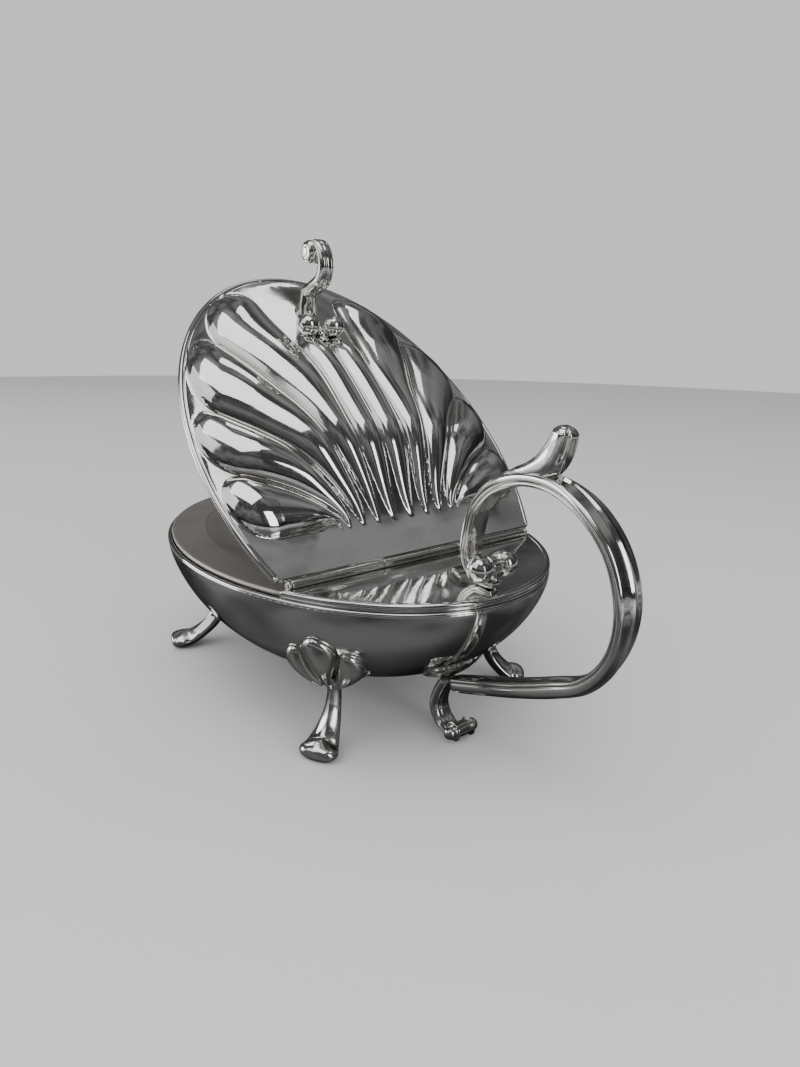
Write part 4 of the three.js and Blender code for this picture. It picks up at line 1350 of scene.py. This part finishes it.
def scratch_group():
    """Fine polishing scratches in three directions, stretched out along each."""
    along_per_metre = 90
    group, start, end = shader_group(
        "Polishing scratches",
        [("Scale", "NodeSocketFloat", 1.0)],
        [("Height", "NodeSocketFloat"), ("Mask", "NodeSocketFloat")],
    )
    place = group.nodes.new("ShaderNodeTexCoord").outputs["Object"]
    total = None
    for angles, stretch in (((0.3, 0.2, 0.5), 30), ((0.9, -0.4, 1.9), 24), ((-0.5, 0.8, -1.1), 36)):
        turned = group.nodes.new("ShaderNodeMapping")
        turned.inputs["Rotation"].default_value = angles
        turned.inputs["Scale"].default_value = (stretch, 1, stretch)
        group.links.new(place, turned.inputs["Vector"])
        scale = arithmetic(group, "MULTIPLY", start.outputs["Scale"], along_per_metre)
        grain = noise(group, turned.outputs["Vector"], scale, 2.0, 0.6)
        line = ramp(group, grain, 0.68, 0.76)
        total = line if total is None else arithmetic(group, "MAXIMUM", total, line)
    group.links.new(arithmetic(group, "MULTIPLY", total, -1.0), end.inputs["Height"])
    group.links.new(total, end.inputs["Mask"])


def smudge_group():
    """Soft marks of handling, and small water spots."""
    group, start, end = shader_group(
        "Handling marks",
        [("Scale", "NodeSocketFloat", 1.0)],
        [("Smudge", "NodeSocketFloat"), ("Spots", "NodeSocketFloat")],
    )
    place = group.nodes.new("ShaderNodeTexCoord").outputs["Object"]

    def scaled(per_metre):
        return arithmetic(group, "MULTIPLY", start.outputs["Scale"], per_metre)

    broad = ramp(group, noise(group, place, scaled(42), 4.0, 0.6, 0.6), 0.46, 0.7)
    fine = ramp(group, noise(group, place, scaled(260), 3.0, 0.6), 0.2, 0.7, 0.5, 1.0)
    group.links.new(arithmetic(group, "MULTIPLY", broad, fine), end.inputs["Smudge"])
    cells = group.nodes.new("ShaderNodeTexVoronoi")
    group.links.new(place, cells.inputs["Vector"])
    group.links.new(scaled(420), cells.inputs["Scale"])
    dots = ramp(group, cells.outputs["Distance"], 0.07, 0.13, 1.0, 0.0)
    some = ramp(group, noise(group, place, 90, 2.0), 0.62, 0.7)
    group.links.new(arithmetic(group, "MULTIPLY", dots, some), end.inputs["Spots"])


def tarnish_group():
    """Tarnish that gathers in the hollows and clouds the metal a little elsewhere."""
    group, start, end = shader_group(
        "Tarnish",
        [
            ("Metal", "NodeSocketColor", (1, 1, 1, 1)),
            ("Tarnish", "NodeSocketColor", (0.2, 0.15, 0.1, 1)),
            ("In hollows", "NodeSocketFloat", 0.6),
            ("All over", "NodeSocketFloat", 0.1),
        ],
        [("Color", "NodeSocketColor"), ("Mask", "NodeSocketFloat")],
    )
    place = group.nodes.new("ShaderNodeTexCoord").outputs["Object"]
    hollow = group.nodes.new("ShaderNodeAttribute")
    hollow.attribute_name = "hollow"
    cloud = noise(group, place, 55, 5.0, 0.62, 0.4)
    fleck = noise(group, place, 700, 3.0, 0.6)
    deep = arithmetic(group, "MULTIPLY", hollow.outputs["Fac"], ramp(group, cloud, 0.25, 0.65, 0.35, 1.0))
    deep = arithmetic(group, "MULTIPLY", deep, start.outputs["In hollows"])
    wide = arithmetic(group, "MULTIPLY", ramp(group, cloud, 0.48, 0.75), start.outputs["All over"])
    wide = arithmetic(group, "MULTIPLY", wide, ramp(group, fleck, 0.3, 0.6, 0.55, 1.0))
    mask = arithmetic(group, "MINIMUM", arithmetic(group, "ADD", deep, wide), 1.0)
    mix = group.nodes.new("ShaderNodeMix")
    mix.data_type = "RGBA"
    group.links.new(mask, mix.inputs["Factor"])
    group.links.new(start.outputs["Metal"], mix.inputs["A"])
    group.links.new(start.outputs["Tarnish"], mix.inputs["B"])
    group.links.new(mix.outputs["Result"], end.inputs["Color"])
    group.links.new(mask, end.inputs["Mask"])


def named_group(tree, name, values):
    """Places one of the groups above with the values of its inputs; returns its outputs."""
    node = tree.nodes.new("ShaderNodeGroup")
    node.node_tree = bpy.data.node_groups[name]
    for socket, value in values.items():
        node.inputs[socket].default_value = value
    return node.outputs


def aged_metal(name, metal, tarnish, in_hollows, all_over):
    """A material of bare metal with its tarnish; returns its tree, its shader and the tarnish's mask."""
    material = bpy.data.materials.new(name)
    material.use_nodes = True
    tree = material.node_tree
    shader = tree.nodes["Principled BSDF"]
    shader.inputs["Metallic"].default_value = 1.0
    colours = {"Metal": (*metal, 1), "Tarnish": (*tarnish, 1)}
    aged = named_group(tree, "Tarnish", {**colours, "In hollows": in_hollows, "All over": all_over})
    tree.links.new(aged["Color"], shader.inputs["Base Color"])
    return tree, shader, aged["Mask"]


def bump(tree, shader, height, strength, depth):
    node = tree.nodes.new("ShaderNodeBump")
    node.inputs["Strength"].default_value = strength
    node.inputs["Distance"].default_value = depth
    tree.links.new(height, node.inputs["Height"])
    tree.links.new(node.outputs["Normal"], shader.inputs["Normal"])


def silver_finish(name, metal, tarnish, polish, in_hollows, all_over, wave, scratch):
    """Silver plate: polish is its least roughness, wave the depth of its hand-raised ripple."""
    tree, shader, tarnished = aged_metal(name, metal, tarnish, in_hollows, all_over)
    marks = named_group(tree, "Handling marks", {"Scale": 1.0})
    lines = named_group(tree, "Polishing scratches", {"Scale": 1.0})
    rough = polish
    for mask, roughness in (
        (marks["Smudge"], 0.13),
        (marks["Spots"], 0.4),
        (lines["Mask"], scratch),
        (tarnished, 0.28),
    ):
        rough = arithmetic(tree, "MULTIPLY_ADD", mask, roughness, rough)
    tree.links.new(rough, shader.inputs["Roughness"])
    place = tree.nodes.new("ShaderNodeTexCoord").outputs["Object"]
    ripple = arithmetic(tree, "MULTIPLY", noise(tree, place, 85, 2.0, 0.4), wave)
    ripple = arithmetic(tree, "MULTIPLY_ADD", noise(tree, place, 420, 2.0, 0.5), wave * 0.1, ripple)
    scratched = arithmetic(tree, "MULTIPLY_ADD", lines["Height"], 0.0016, ripple)
    bump(tree, shader, scratched, 1.0, 0.001)


def satin_finish(name, metal, tarnish):
    """Satin metal with a fine even grain, rubbed a little brighter in places."""
    tree, shader, _ = aged_metal(name, metal, tarnish, 0.3, 0.16)
    marks = named_group(tree, "Handling marks", {"Scale": 0.7})
    place = tree.nodes.new("ShaderNodeTexCoord").outputs["Object"]
    grain = noise(tree, place, 5200, 2.0, 0.7)
    rough = arithmetic(tree, "MULTIPLY_ADD", marks["Smudge"], -0.08, 0.46)
    rough = arithmetic(tree, "MULTIPLY_ADD", grain, 0.12, rough)
    tree.links.new(rough, shader.inputs["Roughness"])
    bump(tree, shader, grain, 0.5, 0.00003)


# Operators


class ServerOperator:
    bl_options = {"REGISTER", "UNDO"}

    def execute(self, context):
        self.build(context.scene.oval_server)
        return {"FINISHED"}


class SERVER_OT_finishes(ServerOperator, bpy.types.Operator):
    """Make the silver and satin finishes"""

    bl_idname = "oval_server.finishes"
    bl_label = "Finishes"

    def build(self, settings):
        scratch_group()
        smudge_group()
        tarnish_group()
        finish = settings.finish
        # Least roughness, tarnish in hollows and all over, ripple, and roughness of scratches
        for slot, metal, levels in (
            ("polished_silver", finish.plate, (0.045, 0.55, 0.12, 0.1, 0.1)),
            ("cast_silver", finish.cast, (0.07, 0.75, 0.16, 0.04, 0.12)),
            ("hinge_silver", finish.hinge, (0.16, 0.8, 0.3, 0.02, 0.1)),
        ):
            silver_finish(METALS[slot], metal, finish.tarnish, *levels)
        satin_finish(METALS["satin_liner"], finish.liner, finish.tarnish)


class SERVER_OT_bowl(ServerOperator, bpy.types.Operator):
    """Raise the bowl, its rim wire and the double bead round its rear cover"""

    bl_idname = "oval_server.bowl"
    bl_label = "Bowl and rim"

    def build(self, settings):
        bowl = settings.bowl
        finished(build_bowl(bowl), "bowl", "base", "polished_silver")
        radius = bowl.rim_wire / 2
        wire = swept_rim("bowl_edge_wire", bowl, radius, bowl.rim_height - radius, round_section(radius))
        finished(wire, "bowl_rim_wire", "base", "polished_silver")
        sunk, past_hinge = 0.0002, 0.001
        base, top = BOXES["cover_moulding"][0].z - sunk, BOXES["cover_moulding"][1].z
        section, count = moulding_section(bowl, top - base)
        last = crossing_angle(bowl, HINGE.x - past_hinge, bowl.moulding)
        bead = swept_rim("rear_double_bead", bowl, 0, base, section, -last, last, 220, count * 3)
        finished(bead, "cover_moulding", "base", "polished_silver")


class SERVER_OT_liner(ServerOperator, bpy.types.Operator):
    """Press the satin liner with its flat flange"""

    bl_idname = "oval_server.liner"
    bl_label = "Liner"

    def build(self, settings):
        finished(build_liner(settings), "liner", "base", "satin_liner")


class SERVER_OT_cover(ServerOperator, bpy.types.Operator):
    """Lay the fixed cover behind the hinge"""

    bl_idname = "oval_server.cover"
    bl_label = "Rear cover"

    def build(self, settings):
        finished(build_cover(settings.bowl), "rear_cover", "base", "polished_silver")


class SERVER_OT_hinge(ServerOperator, bpy.types.Operator):
    """Turn the hinge's three barrels and its pin"""

    bl_idname = "oval_server.hinge"
    bl_label = "Hinge"

    def build(self, settings):
        radius = settings.lid.barrel / 2
        for node, name, body in (
            ("hinge_knuckle_left", "left_hinge_barrel", "base"),
            ("hinge_knuckle_right", "right_hinge_barrel", "base"),
            ("lid_knuckle", "lid_hinge_barrel", "lid"),
            ("hinge_pin", "hinge_pin_rod", "base"),
        ):
            low, high = BOXES[node]
            shape = pin if node == "hinge_pin" else barrel
            finished(shape(name, low.y, high.y, radius), node, body, "hinge_silver")


class SERVER_OT_lid(ServerOperator, bpy.types.Operator):
    """Chase the fluted lid and lay the wire round its edge"""

    bl_idname = "oval_server.lid"
    bl_label = "Fluted lid"

    def build(self, settings):
        finished(build_lid_shell(settings), "lid_shell", "lid", "polished_silver")
        finished(build_lid_wire(settings), "lid_rim_wire", "lid", "polished_silver")


class SERVER_OT_thumbpiece(ServerOperator, bpy.types.Operator):
    """Cast the scroll thumbpiece with its leaf, bosses and curl"""

    bl_idname = "oval_server.thumbpiece"
    bl_label = "Thumbpiece"

    def build(self, settings):
        for piece, node in (
            (build_finial_leaf(settings), "finial_leaf"),
            (build_boss(settings, -1), "finial_boss_left"),
            (build_boss(settings, 1), "finial_boss_right"),
            (build_stem(settings), "finial_stem"),
            (build_curl(settings), "finial_curl"),
        ):
            finished(piece, node, "lid", "cast_silver")


class SERVER_OT_handle(ServerOperator, bpy.types.Operator):
    """Cast the loop handle with its rolls, leaf, tail and thumb rest"""

    bl_idname = "oval_server.handle"
    bl_label = "Loop handle"

    def build(self, settings):
        handle = settings.handle
        at = handle_places(settings)
        upper_ball, tail_ball = 1.14, 0.7
        upper = build_roll("upper_roll_bar", at["upper"], handle.roll / 2, handle.roll_length, upper_ball)
        tail = build_roll("tail_roll_bar", at["tail"], handle.tail / 2, handle.tail_length, tail_ball)
        for piece, node in (
            (build_strap(settings), "handle_strap"),
            (build_thumb_rest(settings), "thumb_rest"),
            (upper, "upper_scroll_roll"),
            (build_leaf(settings), "handle_leaf"),
            (build_tail(settings), "tail_scroll"),
            (tail, "tail_roll"),
        ):
            finished(piece, node, "base", "cast_silver")


class SERVER_OT_feet(ServerOperator, bpy.types.Operator):
    """Cast the four cabriole feet and the lobed shells above them"""

    bl_idname = "oval_server.feet"
    bl_label = "Feet"

    def build(self, settings):
        for side_x, way in ((-1, "front"), (1, "rear")):
            for side_y, hand in ((-1, "left"), (1, "right")):
                knee = build_knee(settings, side_x, side_y, f"{way}_{hand}_lobed_knee")
                finished(knee, f"knee_shell_{way}_{hand}", "base", "cast_silver")
                leg = build_leg(settings, side_x, side_y, f"{way}_{hand}_cabriole_leg")
                finished(leg, f"foot_{way}_{hand}", "base", "cast_silver")


# Each lamp's name, place, size and power in watts
SOFTBOXES = (
    ("Window softbox", (-0.25, -1.0, 0.85), (1.1, 0.8), 2.6),
    ("Ceiling softbox", (0.1, -0.26, 1.2), (1.1, 0.8), 4.6),
    ("Side softbox", (1.0, 0.1, 0.45), (0.3, 0.7), 2),
    ("Left softbox", (-0.86, -0.76, 0.22), (0.76, 0.4), 3.2),
    ("Tip softbox", (-0.36, 0.4, 1.15), (0.26, 0.24), 0.32),
)

# The camera's place, and the directions to its right and up
CAMERA_PLACE = (0.161997, -0.117159, 0.11)
CAMERA_RIGHT = Vector((0.60856373, 0.79325149, 0.02005622))
CAMERA_UP = Vector((-0.23765084, 0.15808834, 0.95839979))
SENSOR_MM = 36
NEAREST_SEEN = 0.005


def add_softbox(name, place, size, watts, target):
    """A rectangular area light that looks at a target."""
    light = bpy.data.lights.new(name, "AREA")
    light.shape = "RECTANGLE"
    light.size, light.size_y = size
    light.energy = watts
    lamp = bpy.data.objects.new(name, light)
    lamp.location = place
    lamp.rotation_euler = (target - Vector(place)).to_track_quat("-Z", "Y").to_euler()
    bpy.context.scene.collection.objects.link(lamp)


def studio_sky(room):
    """A pale even room; what polished metal mirrors of it is dimmer and brightens overhead."""
    world = bpy.data.worlds.new("Studio")
    bpy.context.scene.world = world
    world.use_nodes = True
    tree = world.node_tree
    background = tree.nodes["Background"]
    path = tree.nodes.new("ShaderNodeLightPath")
    place = tree.nodes.new("ShaderNodeTexCoord")
    split = tree.nodes.new("ShaderNodeSeparateXYZ")
    tree.links.new(place.outputs["Generated"], split.inputs["Vector"])
    height = ramp(tree, split.outputs["Z"], 0.0, 0.9, 0.03, 0.12)
    cloud = noise(tree, place.outputs["Generated"], 2.2, 3.0, 0.6)
    height = arithmetic(tree, "MULTIPLY", height, ramp(tree, cloud, 0.4, 0.64, 0.45, 2.0))
    strength = tree.nodes.new("ShaderNodeMix")
    tree.links.new(path.outputs["Is Glossy Ray"], strength.inputs["Factor"])
    strength.inputs["A"].default_value = room
    tree.links.new(height, strength.inputs["B"])
    background.inputs["Color"].default_value = (1, 1, 1, 1)
    tree.links.new(strength.outputs["Result"], background.inputs["Strength"])


def floor_with_painted_reflection(pale):
    """A pale matt floor. What polished metal mirrors of it is a painted reflection: a darker ground in
    patches, paler away from the dish.
    """
    floor_and_painted_reflection = bpy.data.materials.new("Pale floor")
    floor_and_painted_reflection.use_nodes = True
    tree = floor_and_painted_reflection.node_tree
    shader = tree.nodes["Principled BSDF"]
    shader.inputs["Roughness"].default_value = 0.4
    path = tree.nodes.new("ShaderNodeLightPath")
    mix = tree.nodes.new("ShaderNodeMix")
    mix.data_type = "RGBA"
    mix.inputs["A"].default_value = (*pale, 1)
    spot = tree.nodes.new("ShaderNodeTexCoord").outputs["Object"]
    away = tree.nodes.new("ShaderNodeVectorMath")
    away.operation = "LENGTH"
    tree.links.new(spot, away.inputs[0])
    # Painted reflection: only glossy rays see this darker floor colour, in noise patches and paler away
    # from the dish, so the metal mirrors painted shade and brighter bands
    painted_reflection_patches = ramp(tree, noise(tree, spot, 11, 2.0, 0.5), 0.4, 0.6, 0.35, 1.5)
    painted_reflection_paler_outwards = ramp(tree, away.outputs["Value"], 0.12, 0.5, 0.05, 0.42)
    tree.links.new(arithmetic(tree, "MULTIPLY", painted_reflection_paler_outwards, painted_reflection_patches), mix.inputs["B"])
    tree.links.new(path.outputs["Is Glossy Ray"], mix.inputs["Factor"])
    tree.links.new(mix.outputs["Result"], shader.inputs["Base Color"])
    return floor_and_painted_reflection


class SERVER_OT_stage(ServerOperator, bpy.types.Operator):
    """Lay the pale floor and set the lights and the camera"""

    bl_idname = "oval_server.stage"
    bl_label = "Stage"

    def build(self, settings):
        stage = settings.stage
        pick_nothing()
        bpy.ops.mesh.primitive_circle_add(vertices=128, radius=stage.reach, fill_type="NGON")
        floor = bpy.context.object
        floor.name = "studio_floor"
        floor.data.materials.append(floor_with_painted_reflection(stage.floor))
        studio_sky(stage.room)
        for name, place, size, watts in SOFTBOXES:
            add_softbox(name, place, size, watts, Vector((0, 0, stage.aim)))

        camera = bpy.data.objects.new("Camera", bpy.data.cameras.new("Camera"))
        camera.data.lens = stage.lens
        camera.data.sensor_width = SENSOR_MM
        camera.data.clip_start = NEAREST_SEEN
        back = CAMERA_RIGHT.cross(CAMERA_UP)
        turned = Matrix((CAMERA_RIGHT, CAMERA_UP, back)).transposed().to_4x4()
        camera.matrix_world = Matrix.Translation(CAMERA_PLACE) @ turned
        bpy.context.scene.collection.objects.link(camera)
        bpy.context.scene.camera = camera


class SERVER_PT_panel(bpy.types.Panel):
    """Sizes, finishes and the steps that build the server"""

    bl_idname = "SERVER_PT_panel"
    bl_label = "Covered Oval Server"
    bl_space_type = "VIEW_3D"
    bl_region_type = "UI"
    bl_category = "Server"

    def draw(self, context):
        settings = context.scene.oval_server
        for part in STEPS:
            self.layout.operator(part.bl_idname)
        for sizes in ServerSettings.__annotations__:
            group = getattr(settings, sizes)
            for name in group.bl_rna.properties.keys():
                if name not in ("rna_type", "name"):
                    self.layout.prop(group, name)


STEPS = (
    SERVER_OT_finishes,
    SERVER_OT_bowl,
    SERVER_OT_liner,
    SERVER_OT_cover,
    SERVER_OT_hinge,
    SERVER_OT_lid,
    SERVER_OT_thumbpiece,
    SERVER_OT_handle,
    SERVER_OT_feet,
    SERVER_OT_stage,
)

CLASSES = (
    BowlSizes,
    LinerSizes,
    LidSizes,
    ThumbpieceSizes,
    HandleSizes,
    FootSizes,
    FinishSettings,
    StageSettings,
    ServerSettings,
    *STEPS,
    SERVER_PT_panel,
)


def register():
    for one in CLASSES:
        bpy.utils.register_class(one)
    bpy.types.Scene.oval_server = bpy.props.PointerProperty(
        type=ServerSettings, name="Oval server", description="All sizes and finishes"
    )


def unregister():
    del bpy.types.Scene.oval_server
    for one in reversed(CLASSES):
        bpy.utils.unregister_class(one)


def main():
    register()
    for part in STEPS:
        family, step = part.bl_idname.split(".")
        getattr(getattr(bpy.ops, family), step)()


if __name__ == "__main__":
    main()
